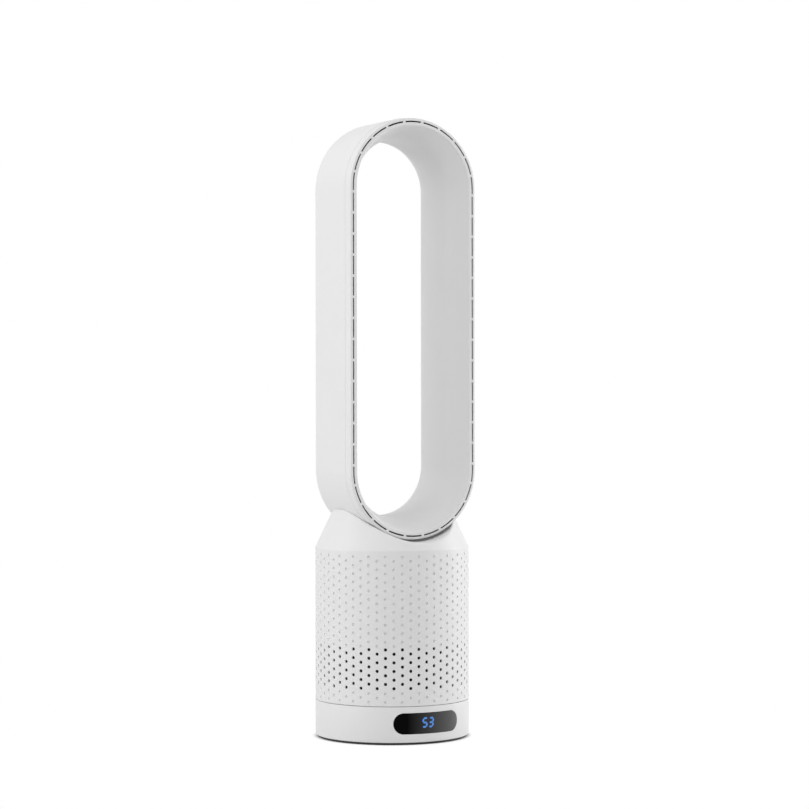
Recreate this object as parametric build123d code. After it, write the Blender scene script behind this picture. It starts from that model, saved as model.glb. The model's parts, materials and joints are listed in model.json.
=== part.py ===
from build123d import *

import os
from math import acos, asin, cos, floor, hypot, pi, radians, sin, sqrt, tan

# Bladeless tower fan: a stadium-shaped air loop on an oscillating perforated body, over a
# static control band. Millimetres, +Z up, the fan axis is Z, the floor is z = 0 and the loop
# blows towards -Y. Azimuths are in degrees, counted from -Y towards +X.

# ---- Flats that stand in for round stretches, to keep the many openings light
body_sides = 58        # one flat for each column of intake holes
disc_sides = 29        # of the hidden discs inside the casing
duct_sides = 20
inner_sides = 12
screw_sides = 6
end_facets = 12        # in each half round of the loop and of the display
rounding_facets = 2
flank_steps = 2

# ---- Whole fan
body_diameter = 200.0
overall_height = 800.0
wall = 2.2
fit_gap = 0.1          # between two pieces of one body that slide together
running_gap = 0.04     # radial, between a shaft and its bore
face_gap = 0.3         # between faces of two bodies that pass each other

# ---- Static base
foot_height = 2.5
foot_inset = 5.0
band_height = 46.0
band_flange_width = 12.0
base_turn = 2.8        # the head rests this far short of the display's azimuth
base_plate_thickness = 3.0
spindle_radius = 14.0
spindle_cap_radius = 18.0
spindle_cap_thickness = 2.5
slide_pad_size = (12.0, 7.0)
slide_pad_count = 6
slide_pad_turn = 15.0

# ---- Display
display_length = 97.0  # along the band's outside
display_height = 27.0
display_centre_height = 27.1
display_thickness = 1.6
display_ledge = 3.0
display_board_size = (56.0, 1.6, 22.0)
digit_module_size = (24.0, 5.0, 14.0)

# ---- Cord gland
gland_bore_radius = 3.5
gland_radius = 6.5
gland_flange_radius = 9.0
gland_flange_thickness = 3.0
gland_length = 9.0
gland_recess = 0.8
gland_height = 16.0

# ---- Oscillation drive
gear_module = 1.5
gear_pressure_angle = 25.0
gear_dedendum = 1.25   # modules
gear_tooth_foot = 0.9  # of the root radius, where a tooth is rooted in its wheel
head_gear_teeth = 60
pinion_teeth = 15
gear_sector_teeth = 18
gear_backlash = 0.24
gear_thickness = 6.5
gear_centre_play = 0.1
drive_azimuth = 225.0
drive_motor_radius = 14.0
drive_motor_height = 19.0
drive_motor_hole_pitch = 35.0
drive_ear_thickness = 1.0
drive_shaft_radius = 2.5
pinion_top_gap = 0.6

# ---- Turntable
turntable_lift = 1.5   # above the band's top
turntable_thickness = 3.0
turntable_hub_radius = 20.0
turntable_hub_height = 12.0
turntable_rib = (2.0, 6.0)
turntable_rib_count = 6

# ---- Perforated casing
seam_gap = 0.6
casing_height = 197.3
column_turn = 0.5
hole_rows = 10
row_pitch = 5.476
top_hole_height = 121.1
hole_radius = 1.85
hole_sides = 3
ledge_width = 3.0
ledge_thickness = 2.0

# ---- Shoulder
shoulder_angle = 25.6  # from the vertical
saddle_rise = 11.1     # the saddle's lowest point above the casing
saddle_gap = 0.8
shoulder_lip = 6.0
tip_trim = 1.0

# ---- Air loop
loop_width = 180.4
loop_front = 65.2      # from the fan axis to the loop's front face
loop_rear = 51.5
bezel_step = 0.6
bezel_depth = 14.0
bezel_rounding = 2.6
rim_width = 160.1      # between the inner edges of the front face
throat_width = 144.8
throat_depth = 22.5
rear_opening_width = 129.6  # at its narrowest
rear_outer_radius = 13.0
rear_inner_radius = 8.0
lip_depth = 15.5       # how far before the rear the inner wall starts to widen
lip_flare = 1.2
lip_joint_depth = 12.0  # how far before the rear the inner shell meets the outer one
slot_track_width = 169.6
slot_width = 1.9
slot_bridge = 3.3
side_slots = 13
end_slots = 11
side_margin = 7.4      # from the arc's centre to the nearest bridge on a straight side

# ---- Fan unit
neck_radius = 31.5
neck_reach = 10.5      # how far the neck stands up into the loop
seal_width = 3.0
seal_thickness = 1.5
duct_wall = 2.0
inlet_radius = 46.5
duct_radius = 73.0
duct_cone_height = 44.0
duct_height = 88.0
tip_gap = 1.0
hub_inlet_radius = 16.0
impeller_base_lift = 8.0
impeller_height = 36.0
blade_count = 9
blade_thickness = 1.6
blade_turn = 48.0
blade_margin = 3.0
blade_steps = 2
vane_count = 7
vane_turn = -26.0
vane_steps = 2
vane_height = 30.0
vane_root_depth = 1.6  # into the pod's wall
pod_radius = 46.0
pod_gap = 4.0
pod_height = 38.0
motor_radius = 26.0
motor_height = 26.0
motor_cap_thickness = 3.0
motor_wall = 2.0
motor_mount_height = 7.0
rotor_radius = 15.0
rotor_gap = 1.0
shaft_radius = 2.5
bearing_radius = 8.0
bearing_height = 5.0
drive_board_size = (60.0, 34.0, 1.6)
board_post = 5.0

# ---- Fasteners and boards
screw_radius = 1.5
screw_head_radius = 2.8
screw_head_height = 1.8
boss_radius = 6.0
base_screw_length = 12.0
gear_screw_circle = 28.0
gear_screw_count = 3
drive_screw_length = 12.0
loop_screw_spread = (42.0, 22.0)
loop_screw_length = 9.0
control_board_size = (44.0, 78.0, 1.6)
control_board_margin = 21.8   # between the board's edge and the band's inside
control_board_offset = 4.0
filter_size = (14.6, 26.0, 14.0)
supply_size = (11.0, 15.6, 10.0)
relay_size = (22.0, 19.5, 6.0)

# ---- Worked out from the above
body_radius = body_diameter / 2
body_bore = body_radius - wall
band_top = foot_height + band_height
plate_top = foot_height + base_plate_thickness
turntable_bottom = band_top + turntable_lift
turntable_top = turntable_bottom + turntable_thickness
hub_bottom = turntable_bottom - gear_thickness - screw_head_height
hub_top = hub_bottom + turntable_hub_height + gear_thickness
casing_bottom = band_top + seam_gap
crease_height = casing_bottom + casing_height
loop_radius = loop_width / 2
loop_bottom = crease_height + saddle_rise
lower_centre = loop_bottom + loop_radius
upper_centre = overall_height - loop_radius
straight_length = upper_centre - lower_centre
throat_y = throat_depth - loop_front
bezel_y = bezel_depth - loop_front
saddle_radius = loop_radius + saddle_gap
duct_bottom = top_hole_height + ledge_thickness + row_pitch
duct_top = duct_bottom + duct_height
impeller_bottom = duct_bottom + impeller_base_lift
impeller_top = impeller_bottom + impeller_height
pod_bottom = impeller_top + pod_gap
motor_bottom = pod_bottom + duct_wall + motor_cap_thickness
motor_top = motor_bottom + motor_height
head_gear_pitch_radius = gear_module * head_gear_teeth / 2
pinion_pitch_radius = gear_module * pinion_teeth / 2
drive_centre = head_gear_pitch_radius + pinion_pitch_radius + gear_centre_play
gear_bottom = turntable_bottom - gear_thickness
drive_motor_top = gear_bottom - screw_head_height - face_gap - drive_ear_thickness


# ---- Small helpers
def flat_radius(apothem, sides):
    """Corner radius of a regular polygon whose flats clear a circle."""
    return apothem / cos(pi / sides)


def ring_points(radius, sides):
    """Corners of a regular polygon round the fan axis, with a flat on the first hole column."""
    steps = [radians(column_turn + 360 * (k + 0.5) / sides) for k in range(sides)]
    return [(radius * sin(step), -radius * cos(step)) for step in steps]


def prism(radius, bottom, top, sides):
    """An upright disc on the fan axis, in flats that stay within a radius."""
    return extrude(Pos(0, 0, bottom) * make_face(Polyline(*ring_points(radius, sides), close=True)), top - bottom)


def tube(outer, inner, bottom, top, sides=body_sides):
    """An upright tube on the fan axis, in flats between two radii, or a disc where inner is 0."""
    solid = prism(outer, bottom, top, sides)
    if inner > 0:
        solid -= prism(flat_radius(inner, sides), bottom, top, sides)
    return solid


def round_tube(outer, inner, bottom, top):
    """A truly round tube or disc, for what turns or runs in a bore."""
    low = (Align.CENTER, Align.CENTER, Align.MIN)
    solid = Pos(0, 0, bottom) * Cylinder(outer, top - bottom, align=low)
    if inner > 0:
        solid -= Pos(0, 0, bottom) * Cylinder(inner, top - bottom, align=low)
    return solid


def block(width, depth, bottom, top):
    """An upright box centred on the fan axis."""
    return Pos(0, 0, bottom) * Box(width, depth, top - bottom, align=(Align.CENTER, Align.CENTER, Align.MIN))


def outline_points(section):
    """The corners of a flat section in order, with each round stretch as a few points."""
    points = []
    for edge in section.face().outer_wire().order_edges():
        steps = 1 if edge.geom_type == GeomType.LINE else rounding_facets
        points += [edge @ (k / steps) for k in range(steps)]
    return [(point.X, point.Y) for point in points]


def carried(rings):
    """A closed solid through rings of points, the last of which joins the first."""
    panels = []
    for ring, after in zip(rings, rings[1:] + rings[:1]):
        for k, corner_point in enumerate(ring):
            following = (k + 1) % len(ring)
            corners = (corner_point, ring[following], after[following], after[k])
            panels.append(make_face(Polyline(*corners, close=True)))
    return Solid(Shell(panels))


def turned(outline, sides=body_sides):
    """A closed outline of (radius, height) points, carried round the fan axis in flats."""
    rings = [
        [(x * radius, y * radius, height) for radius, height in outline]
        for x, y in ring_points(1, sides)
    ]
    return carried(rings)


def stacked(rings, flat_sides=True):
    """A closed solid through open rings of points, with flat ends and flat or split sides."""
    faces = [make_face(Polyline(*ring, close=True)) for ring in (rings[0], rings[-1])]
    for ring, after in zip(rings, rings[1:]):
        for k, corner_point in enumerate(ring):
            following = (k + 1) % len(ring)
            corners = (corner_point, ring[following], after[following], after[k])
            pieces = [corners] if flat_sides else [corners[:3], (corners[0], *corners[2:])]
            faces += [make_face(Polyline(*piece, close=True)) for piece in pieces]
    return Solid(Shell(faces))


def frustum(low_radius, low, high_radius, high, sides):
    """An upright cone stump in flats."""
    levels = ((low_radius, low), (high_radius, high))
    return stacked([[(x, y, height) for x, y in ring_points(radius, sides)] for radius, height in levels])


def swung(shape, azimuth):
    """A shape made at the front, moved round the fan axis to an azimuth."""
    return Rot(0, 0, azimuth) * shape


def around(shape, count, start=0.0):
    """Copies of a shape made at the front, evenly spaced round the fan axis."""
    return [swung(shape, start + 360 * k / count) for k in range(count)]


def screw(bottom, length):
    """A screw on the fan axis, head down, its shank from bottom upwards."""
    head = tube(screw_head_radius, 0, bottom - screw_head_height, bottom, screw_sides)
    return head + tube(screw_radius, 0, bottom, bottom + length, screw_sides)


def screw_hole(bottom, top, gap=0.0):
    """What a screw's shank needs, with a gap."""
    return tube(screw_radius + gap, 0, bottom, top, screw_sides)


# ---- Air loop
def stadium(radius, front, back):
    """A solid of the loop's stadium outline, at a radius, between two y values."""
    corners = []
    for centre, start in ((upper_centre, -90), (lower_centre, 90)):
        turns = [radians(start + 180 * k / end_facets) for k in range(end_facets + 1)]
        corners += [(radius * sin(turn), front, centre + radius * cos(turn)) for turn in turns]
    return extrude(make_face(Polyline(*corners, close=True)), amount=back - front, dir=(0, 1, 0))


def loop_sweep(section):
    """A section drawn at (distance from the loop's centre line, y), carried round the stadium."""
    stations = []
    for centre, start in ((upper_centre, -90), (lower_centre, 90)):
        stations += [(centre, radians(start + 180 * k / end_facets)) for k in range(end_facets + 1)]
    points = outline_points(section)
    rings = [
        [(reach * sin(turn), y, centre + reach * cos(turn)) for reach, y in points]
        for centre, turn in stations
    ]
    return carried(rings)


def corner(face, reach, y):
    """The corner of a loop section nearest to a point."""
    return min(face.vertices(), key=lambda v: hypot(v.X - reach, v.Y - y))


def rear_lip():
    """The corners of the inner wall's lip, which widens a little towards the rear."""
    narrow = rear_opening_width / 2
    return (narrow + lip_flare, loop_rear), (narrow, loop_rear - lip_depth)


def loop_outline():
    """The loop's outer section, with its bezel step and its rounded rear edges."""
    bezel = loop_radius - bezel_step
    points = [
        (bezel, -loop_front),
        (bezel, bezel_y),
        (loop_radius, bezel_y),
        (loop_radius, loop_rear),
        *rear_lip(),
        (throat_width / 2, throat_y),
        (rim_width / 2, -loop_front),
    ]
    face = make_face(Polyline(*points, close=True))
    face = fillet(corner(face, loop_radius, loop_rear), rear_outer_radius)
    face = fillet(corner(face, bezel, -loop_front), bezel_rounding)
    return fillet(corner(face, *rear_lip()[0]), rear_inner_radius)


def loop_cavity():
    """The air space inside the loop's section."""
    points = [
        (loop_radius, -loop_front),
        (loop_radius, loop_rear),
        *rear_lip(),
        (throat_width / 2, throat_y),
        (rim_width / 2, -loop_front),
    ]
    face = offset(make_face(Polyline(*points, close=True)), -wall, kind=Kind.INTERSECTION)
    rounding = 0.6  # a flat this share of a rounding's inside keeps the wall's thickness
    face = chamfer(corner(face, loop_radius - wall, loop_rear - wall), rounding * (rear_outer_radius - wall))
    reach, y = rear_lip()[0]
    lip = corner(face, reach + wall, y - wall)
    return chamfer(lip, rounding * (rear_inner_radius - wall))


def section_box(reach_from, reach_to, y_from, y_to):
    """A rectangle of the section plane."""
    centre = ((reach_from + reach_to) / 2, (y_from + y_to) / 2)
    return Pos(*centre) * Rectangle(reach_to - reach_from, y_to - y_from)


def loop_sections():
    """The wall sections of the outlet ring, the inner shell and the outer shell."""
    walls = loop_outline() - loop_cavity()
    inside = (throat_width / 2 + loop_radius) / 2
    far = 2 * loop_radius
    lip_joint = loop_rear - lip_joint_depth
    front = section_box(0, far, -far, bezel_y) + section_box(0, inside, -far, throat_y)
    middle = section_box(0, inside, throat_y, lip_joint)
    return walls & front, walls & middle, walls - front - middle


def track_point(path):
    """Place and tilt on the upper slot track, at a path length from its top."""
    radius = slot_track_width / 2
    quarter = radius * pi / 2
    if abs(path) <= quarter:
        tilt = path / radius
        return radius * sin(tilt), upper_centre + radius * cos(tilt), tilt * 180 / pi
    side = 1 if path > 0 else -1
    return side * radius, upper_centre - (abs(path) - quarter), 90 * side


def slot_bridges():
    """The webs between the outlet slots, as blocks that cross the slot track."""
    web = Box(slot_bridge, 4 * wall, 4 * slot_width)
    radius = slot_track_width / 2
    end_pitch = (pi * radius + 2 * side_margin) / end_slots
    side_pitch = (straight_length - 2 * side_margin) / side_slots
    middle = (upper_centre + lower_centre) / 2
    webs = []
    for k in range(end_slots + 1):
        x, z, tilt = track_point((k - end_slots / 2) * end_pitch)
        webs.append(Pos(x, -loop_front, z) * Rot(0, tilt, 0) * web)
        webs.append(Pos(x, -loop_front, 2 * middle - z) * Rot(0, -tilt, 0) * web)
    for k in range(1, side_slots):
        z = middle + (k - side_slots / 2) * side_pitch
        webs += [Pos(side * radius, -loop_front, z) * Rot(0, 90, 0) * web for side in (-1, 1)]
    return webs


def outlet_ring(section):
    """The front ring, with the row of outlet slots that blow the air forwards."""
    reach = slot_track_width / 2
    cut = section_box(reach - slot_width / 2, reach + slot_width / 2, -loop_front - wall, -loop_front + 1.5 * wall)
    return loop_sweep(section) - (loop_sweep(cut) - slot_bridges())


def stadium_drop(radius, x):
    """How far the flats of a stadium lie under its lower arc's centre, at a distance x from it."""
    step = pi / end_facets
    flat = (floor(asin(x / radius) / step) + 0.5) * step
    return (radius * cos(step / 2) - x * sin(flat)) / cos(flat)


def loop_screw_places():
    """The four screws that hold the loop to the saddle, as (x, y, height of the saddle's underside)."""
    x, y = loop_screw_spread
    rise = lower_centre - stadium_drop(saddle_radius + wall, x - screw_head_radius)
    return [(sx * x, sy * y, rise) for sx in (-1, 1) for sy in (-1, 1)]


def neck_hole():
    """The passage for the neck through the saddle and into the loop."""
    return tube(neck_radius + fit_gap, 0, crease_height, loop_bottom + neck_reach + wall, duct_sides)


def loop_shell(section):
    """The outer shell, open below for the neck, with four screw holes."""
    shell = loop_sweep(section) - neck_hole()
    for x, y, rise in loop_screw_places():
        shell -= Pos(x, y, 0) * screw_hole(rise, rise + loop_screw_length + wall)
    return shell


def loop_screws():
    """Four screws up through the saddle into the loop."""
    return Compound([Pos(x, y, 0) * screw(rise, loop_screw_length) for x, y, rise in loop_screw_places()])


# ---- Shoulder and casing
def shoulder_cone(radius, top, sides):
    """A solid of the shoulder's taper, from the casing's top upwards."""
    narrow = radius - tan(radians(shoulder_angle)) * (top - crease_height)
    return frustum(radius, crease_height, narrow, top, sides)


def saddle_tip():
    """The height at which the saddle's two horns run out against the loop."""
    taper = tan(radians(shoulder_angle))
    narrow = body_radius - taper * (lower_centre - crease_height)
    square = 1 + taper**2
    drop = (sqrt((narrow * taper) ** 2 - square * (narrow**2 - saddle_radius**2)) - narrow * taper) / square
    return lower_centre - drop - tip_trim


def shoulder_cover():
    """The tapered shoulder, cut by the loop's outline into a saddle, with a lip for the casing."""
    top = saddle_tip()
    reach = 2 * body_radius
    inner_radius = body_radius - wall / cos(radians(shoulder_angle))
    hollow = shoulder_cone(inner_radius, top, disc_sides) - stadium(saddle_radius + wall, -reach, reach)
    cover = shoulder_cone(body_radius, top, body_sides) - stadium(saddle_radius, -reach, reach) - hollow
    lip = body_bore - fit_gap
    cover += tube(lip, lip - wall, crease_height - shoulder_lip, crease_height + wall)
    cover -= neck_hole()
    for x, y, rise in loop_screw_places():
        cover -= Pos(x, y, 0) * screw_hole(rise - wall, rise + loop_screw_length, fit_gap)
    return cover


def intake_hole():
    """A radial pin that cuts one intake hole, at the front and at height 0."""
    pin = extrude(Plane.XZ * RegularPolygon(hole_radius, hole_sides), 3 * wall)
    return Pos(0, wall - body_bore, 0) * pin


def intake_grille():
    """The perforated casing: staggered columns of intake holes, and an inner ledge for the duct."""
    casing = tube(body_radius, body_bore, casing_bottom, crease_height)
    ledge = prism(flat_radius(body_bore, body_sides), duct_bottom - ledge_thickness, duct_bottom, body_sides)
    casing += ledge - prism(body_bore - ledge_width, duct_bottom - ledge_thickness, duct_bottom, disc_sides)
    pin = intake_hole()
    pins = []
    for column in range(body_sides):
        for row in range((column + 1) % 2, hole_rows, 2):
            height = top_hole_height - row * row_pitch
            pins.append(swung(Pos(0, 0, height) * pin, column_turn + 360 * column / body_sides))
    return casing - pins


def turntable():
    """The head's floor: a ribbed disc with the hub that turns on the base's spindle."""
    disc = tube(body_bore - fit_gap, 0, turntable_bottom, turntable_top, disc_sides)
    disc += tube(turntable_hub_radius, 0, hub_bottom, hub_top, inner_sides)
    rib_width, rib_height = turntable_rib
    start = turntable_hub_radius - wall
    end = body_bore - wall
    rib = Pos(0, -(start + end) / 2, 0) * block(rib_width, end - start, turntable_bottom, turntable_top + rib_height)
    disc += around(rib, turntable_rib_count, 180 / turntable_rib_count)
    disc -= round_tube(spindle_radius + running_gap, 0, hub_bottom, hub_top)
    return disc - around(at_gear_screw(screw_hole(turntable_bottom, turntable_top)), gear_screw_count)


def at_gear_screw(shape):
    """A shape made on the fan axis, moved out to the circle of the sector gear's screws."""
    return Pos(0, -gear_screw_circle, 0) * shape


# ---- Gears
def involute(angle):
    """The involute function of a pressure angle in radians."""
    return tan(angle) - angle


def gear_tooth(teeth):
    """One involute tooth that points along +X, thinned by half the backlash."""
    pitch = gear_module * teeth / 2
    base = pitch * cos(radians(gear_pressure_angle))
    root = pitch - gear_dedendum * gear_module
    tip = pitch + gear_module
    start = max(base, root)
    half_at_pitch = pi / (2 * teeth) - gear_backlash / (4 * pitch)
    flank = []
    for k in range(flank_steps + 1):
        radius = start + (tip - start) * k / flank_steps
        half = half_at_pitch + involute(radians(gear_pressure_angle)) - involute(acos(base / radius))
        flank.append((radius * cos(half), radius * sin(half)))
    foot = gear_tooth_foot * root
    half_foot = foot * flank[0][1] / flank[0][0]
    lower = [(x, -y) for x, y in flank]
    return make_face(Polyline((foot, -half_foot), *lower, *reversed(flank), (foot, half_foot), close=True))


def gear_solid(teeth, angles, bottom, top):
    """A spur gear with teeth at the given angles, in degrees from +X."""
    body = prism(gear_module * (teeth / 2 - gear_dedendum), bottom, top, inner_sides)
    tooth = Pos(0, 0, bottom) * extrude(gear_tooth(teeth), top - bottom)
    return body + [Rot(0, 0, angle) * tooth for angle in angles]


def head_gear():
    """The sector gear under the turntable, in mesh with the drive pinion."""
    pitch = 360 / head_gear_teeth
    facing = drive_azimuth + base_turn - 90
    angles = [facing + (k - gear_sector_teeth / 2 + 0.5) * pitch for k in range(gear_sector_teeth)]
    gear = gear_solid(head_gear_teeth, angles, gear_bottom, turntable_bottom)
    gear -= tube(turntable_hub_radius + fit_gap, 0, gear_bottom, turntable_bottom, inner_sides)
    return gear - around(at_gear_screw(screw_hole(gear_bottom, turntable_bottom, fit_gap)), gear_screw_count)


def gear_screws():
    """The screws that hold the sector gear to the turntable."""
    length = gear_thickness + turntable_thickness
    return Compound(around(at_gear_screw(screw(gear_bottom, length)), gear_screw_count))


def at_drive(shape):
    """A shape made on the fan axis, moved to the pinion's axis."""
    return swung(Pos(0, -drive_centre, 0) * shape, drive_azimuth + base_turn)


def drive_pinion():
    """The pinion, with one tooth pointing at the fan axis."""
    angles = [90 + 360 * k / pinion_teeth for k in range(pinion_teeth)]
    bottom = gear_bottom + face_gap
    top = turntable_bottom - pinion_top_gap
    pinion = gear_solid(pinion_teeth, angles, bottom, top)
    return at_drive(pinion - tube(flat_radius(drive_shaft_radius, inner_sides), 0, bottom, top, inner_sides))


def drive_motor_middle():
    """Height of the drive motor's middle, where its output shaft starts."""
    return drive_motor_top - drive_motor_height / 2


def pinion_shaft():
    """The drive motor's output shaft."""
    return at_drive(round_tube(drive_shaft_radius, 0, drive_motor_middle(), turntable_bottom - pinion_top_gap))


def at_drive_ears(shape):
    """A shape made on the drive's axis, copied to the motor's two screw ears."""
    return [Pos(side * drive_motor_hole_pitch / 2, 0, 0) * shape for side in (-1, 1)]


def from_ears(shape):
    """A shape made upwards from z = 0, hung down from the top of the drive motor's ears."""
    return Pos(0, 0, drive_motor_top) * Rot(180, 0, 0) * shape


def oscillation_motor():
    """The flat geared motor that turns the head, with its two screw ears."""
    ear_bottom = drive_motor_top - drive_ear_thickness
    ear_radius = 2 * screw_radius + wall / 4
    motor = tube(drive_motor_radius, 0, drive_motor_top - drive_motor_height, drive_motor_top, inner_sides)
    motor += block(drive_motor_hole_pitch, 2 * ear_radius, ear_bottom, drive_motor_top)
    motor += at_drive_ears(tube(ear_radius, 0, ear_bottom, drive_motor_top, screw_sides))
    motor -= at_drive_ears(from_ears(screw_hole(0, drive_ear_thickness, fit_gap)))
    bore = round_tube(drive_shaft_radius + running_gap, 0, drive_motor_middle() - face_gap, drive_motor_top)
    return at_drive(motor - bore)


def drive_screws():
    """The two screws down through the drive motor's ears."""
    hung = from_ears(screw(0, drive_screw_length))
    return Compound([at_drive(shape) for shape in at_drive_ears(hung)])


# ---- Static base
def pill(inner, outer, grow):
    """The display's round-ended window, true to the band's surface, between two radii."""
    half_height = display_height / 2 + grow
    straight = (display_length - display_height) / 2
    outline = []
    for side in (1, -1):
        for k in range(end_facets + 1):
            turn = pi * k / end_facets
            arc = side * (straight + half_height * sin(turn))
            height = display_centre_height + side * half_height * cos(turn)
            outline.append((body_radius * sin(arc / body_radius), 0, height))
    window = extrude(make_face(Polyline(*outline, close=True)), amount=2 * body_radius, dir=(0, -1, 0))
    bottom = display_centre_height - half_height - wall
    return tube(outer, inner, bottom, bottom + 2 * (half_height + wall)) & swung(window, base_turn)


def at_base_screws(shape):
    """A shape made on the fan axis, copied to the four screws that close the base."""
    circle = body_bore + wall / 2 - boss_radius
    return around(Pos(0, -circle, 0) * shape, 4, base_turn + 45)


def base_shell():
    """The control band: display pocket, gland hole, top flange and screw bosses."""
    shell = prism(body_radius, foot_height, band_top, body_sides)
    shell -= prism(flat_radius(body_bore, disc_sides), foot_height, band_top - wall, disc_sides)
    shell -= prism(body_bore - band_flange_width, band_top - wall, band_top, disc_sides)
    shell += at_base_screws(tube(boss_radius, 0, plate_top, plate_top + base_screw_length, screw_sides))
    shell -= at_base_screws(screw_hole(plate_top, plate_top + base_screw_length))
    shell -= pill(body_radius - display_thickness, body_radius + wall, 0)
    shell -= pill(body_bore - wall, body_radius, -display_ledge)
    shell -= at_gland(tube(gland_radius + fit_gap, 0, 0, 3 * wall, inner_sides))
    return shell - at_gland(gland_tongue(gland_radius + fit_gap, 3 * wall, 0))


def at_gland(shape):
    """A shape made upwards from z = 0, laid to point out through the band at the rear."""
    start = body_radius - gland_recess - 2 * wall
    return swung(Pos(0, start, gland_height) * Rot(-90, 0, 0) * shape, base_turn)


def gland_tongue(half_width, top, lift):
    """The part below the bush that fills the notch down to the band's lower edge."""
    bottom = body_bore - (body_radius - gland_recess - 2 * wall) + lift
    reach = gland_height - foot_height - lift
    return Pos(0, reach / 2, 0) * block(2 * half_width, reach, bottom, top)


def cord_gland():
    """The rubber bush that the mains lead passes through."""
    inner_end = 2 * wall - gland_length
    flange_top = sqrt(body_bore**2 - gland_flange_radius**2) - fit_gap - (body_radius - gland_recess - 2 * wall)
    bush = tube(gland_radius, 0, inner_end, 2 * wall, inner_sides)
    bush += tube(gland_flange_radius, 0, flange_top - gland_flange_thickness, flange_top, inner_sides)
    bush += gland_tongue(gland_radius, 2 * wall, fit_gap)
    return at_gland(bush - round_tube(gland_bore_radius, 0, inner_end, 2 * wall))


def base_plate():
    """The base's floor with the spindle, and the posts that carry the drive motor and boards."""
    plate = tube(body_bore - fit_gap, 0, foot_height, plate_top, disc_sides)
    plate += round_tube(spindle_radius, 0, foot_height, hub_top + face_gap)
    post_top = drive_motor_top - drive_ear_thickness
    post = tube(2 * screw_radius, 0, foot_height, post_top, screw_sides)
    post -= from_ears(screw_hole(0, drive_screw_length))
    plate += [at_drive(shape) for shape in at_drive_ears(post)]
    plate -= at_base_screws(screw_hole(foot_height, plate_top, fit_gap))
    recess_top = foot_height + screw_head_height + fit_gap
    plate -= at_base_screws(tube(screw_head_radius + fit_gap, 0, foot_height, recess_top, screw_sides))
    return plate + control_board_posts() + display_brackets()


def control_board_posts():
    """Four square posts under the corners of the control board."""
    x, y = control_board_place()
    dx = (control_board_size[0] - board_post) / 2
    dy = (control_board_size[1] - board_post) / 2
    post = block(board_post, board_post, foot_height, plate_top + board_post)
    return [swung(Pos(x + sx * dx, y + sy * dy, 0) * post, base_turn) for sx in (-1, 1) for sy in (-1, 1)]


def display_face():
    """Distance from the fan axis to the display board's front."""
    half = digit_module_size[0] / 2
    return sqrt(body_bore**2 - half**2) - face_gap - digit_module_size[1]


def display_brackets():
    """Two uprights behind the display board."""
    length, thickness, height = display_board_size
    back = display_face() - thickness
    bracket = block(board_post, 2 * board_post, foot_height, display_centre_height + height / 2)
    return [swung(Pos(side * length / 3, board_post - back, 0) * bracket, base_turn) for side in (-1, 1)]


def display_board():
    """The upright board behind the display."""
    length, thickness, height = display_board_size
    board = block(length, thickness, display_centre_height - height / 2, display_centre_height + height / 2)
    return swung(Pos(0, thickness / 2 - display_face(), 0) * board, base_turn)


def digit_module():
    """The two-digit light module on the display board."""
    length, thickness, height = digit_module_size
    module = block(length, thickness, display_centre_height - height / 2, display_centre_height + height / 2)
    return swung(Pos(0, -display_face() - thickness / 2, 0) * module, base_turn)


def control_board_place():
    """The middle of the control board, set from the band's inside."""
    return body_bore - control_board_margin - control_board_size[0] / 2, control_board_offset


def control_board():
    """The mains and control board, with its taller parts as plain blocks."""
    length, width, thickness = control_board_size
    bottom = plate_top + board_post
    top = bottom + thickness
    board = block(length, width, bottom, top)
    parts = ((filter_size, -length / 5, width / 4), (supply_size, length / 4, width / 4), (relay_size, 0, -width / 4))
    for (across, deep, tall), x, y in parts:
        board += Pos(x, y, 0) * block(across, deep, top, top + tall)
    return swung(Pos(*control_board_place(), 0) * board, base_turn)


def slide_pads():
    """Low-friction pads on the band's flange, just under the turntable."""
    length, width = slide_pad_size
    place = Pos(0, -(body_bore - band_flange_width / 2), 0)
    pad = place * block(length, width, band_top, turntable_bottom - face_gap)
    return Compound(around(pad, slide_pad_count, base_turn + slide_pad_turn))


def spindle_cap():
    """The disc on top of the spindle that keeps the head from lifting off."""
    bottom = hub_top + face_gap
    return tube(spindle_cap_radius, 0, bottom, bottom + spindle_cap_thickness, inner_sides)


def base_screws():
    """The four screws up through the base plate."""
    return Compound(at_base_screws(screw(foot_height + screw_head_height + fit_gap, base_screw_length)))


# ---- Fan unit
def duct_inner(height):
    """Distance from the fan axis to the duct's flats, at a height above its bottom."""
    share = min(max(height / duct_cone_height, 0), 1)
    return (inlet_radius + share * (duct_radius - inlet_radius)) * cos(pi / duct_sides)


def impeller_duct():
    """The duct round the impeller: a flange on the casing's ledge, a cone and a straight wall."""
    cone_top = duct_bottom + duct_cone_height
    flange = body_bore - fit_gap
    outline = [
        (inlet_radius, duct_bottom),
        (duct_radius, cone_top),
        (duct_radius, duct_top),
        (duct_radius + duct_wall, duct_top),
        (duct_radius + duct_wall, cone_top),
        (inlet_radius + 2 * duct_wall, duct_bottom + duct_wall),
        (flange, duct_bottom + duct_wall),
        (flange, duct_bottom),
    ]
    return turned(outline, duct_sides)


def twisted_blade(stations):
    """A radial blade through (height, inner radius, outer radius, turn) stations."""
    half = blade_thickness / 2
    rings = []
    for height, inner, outer, turn in stations:
        c, s = cos(radians(turn)), sin(radians(turn))
        corners = [(inner, -half), (outer, -half), (outer, half), (inner, half)]
        rings.append([(x * c - y * s, x * s + y * c, height) for x, y in corners])
    return stacked(rings, flat_sides=False)


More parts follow.
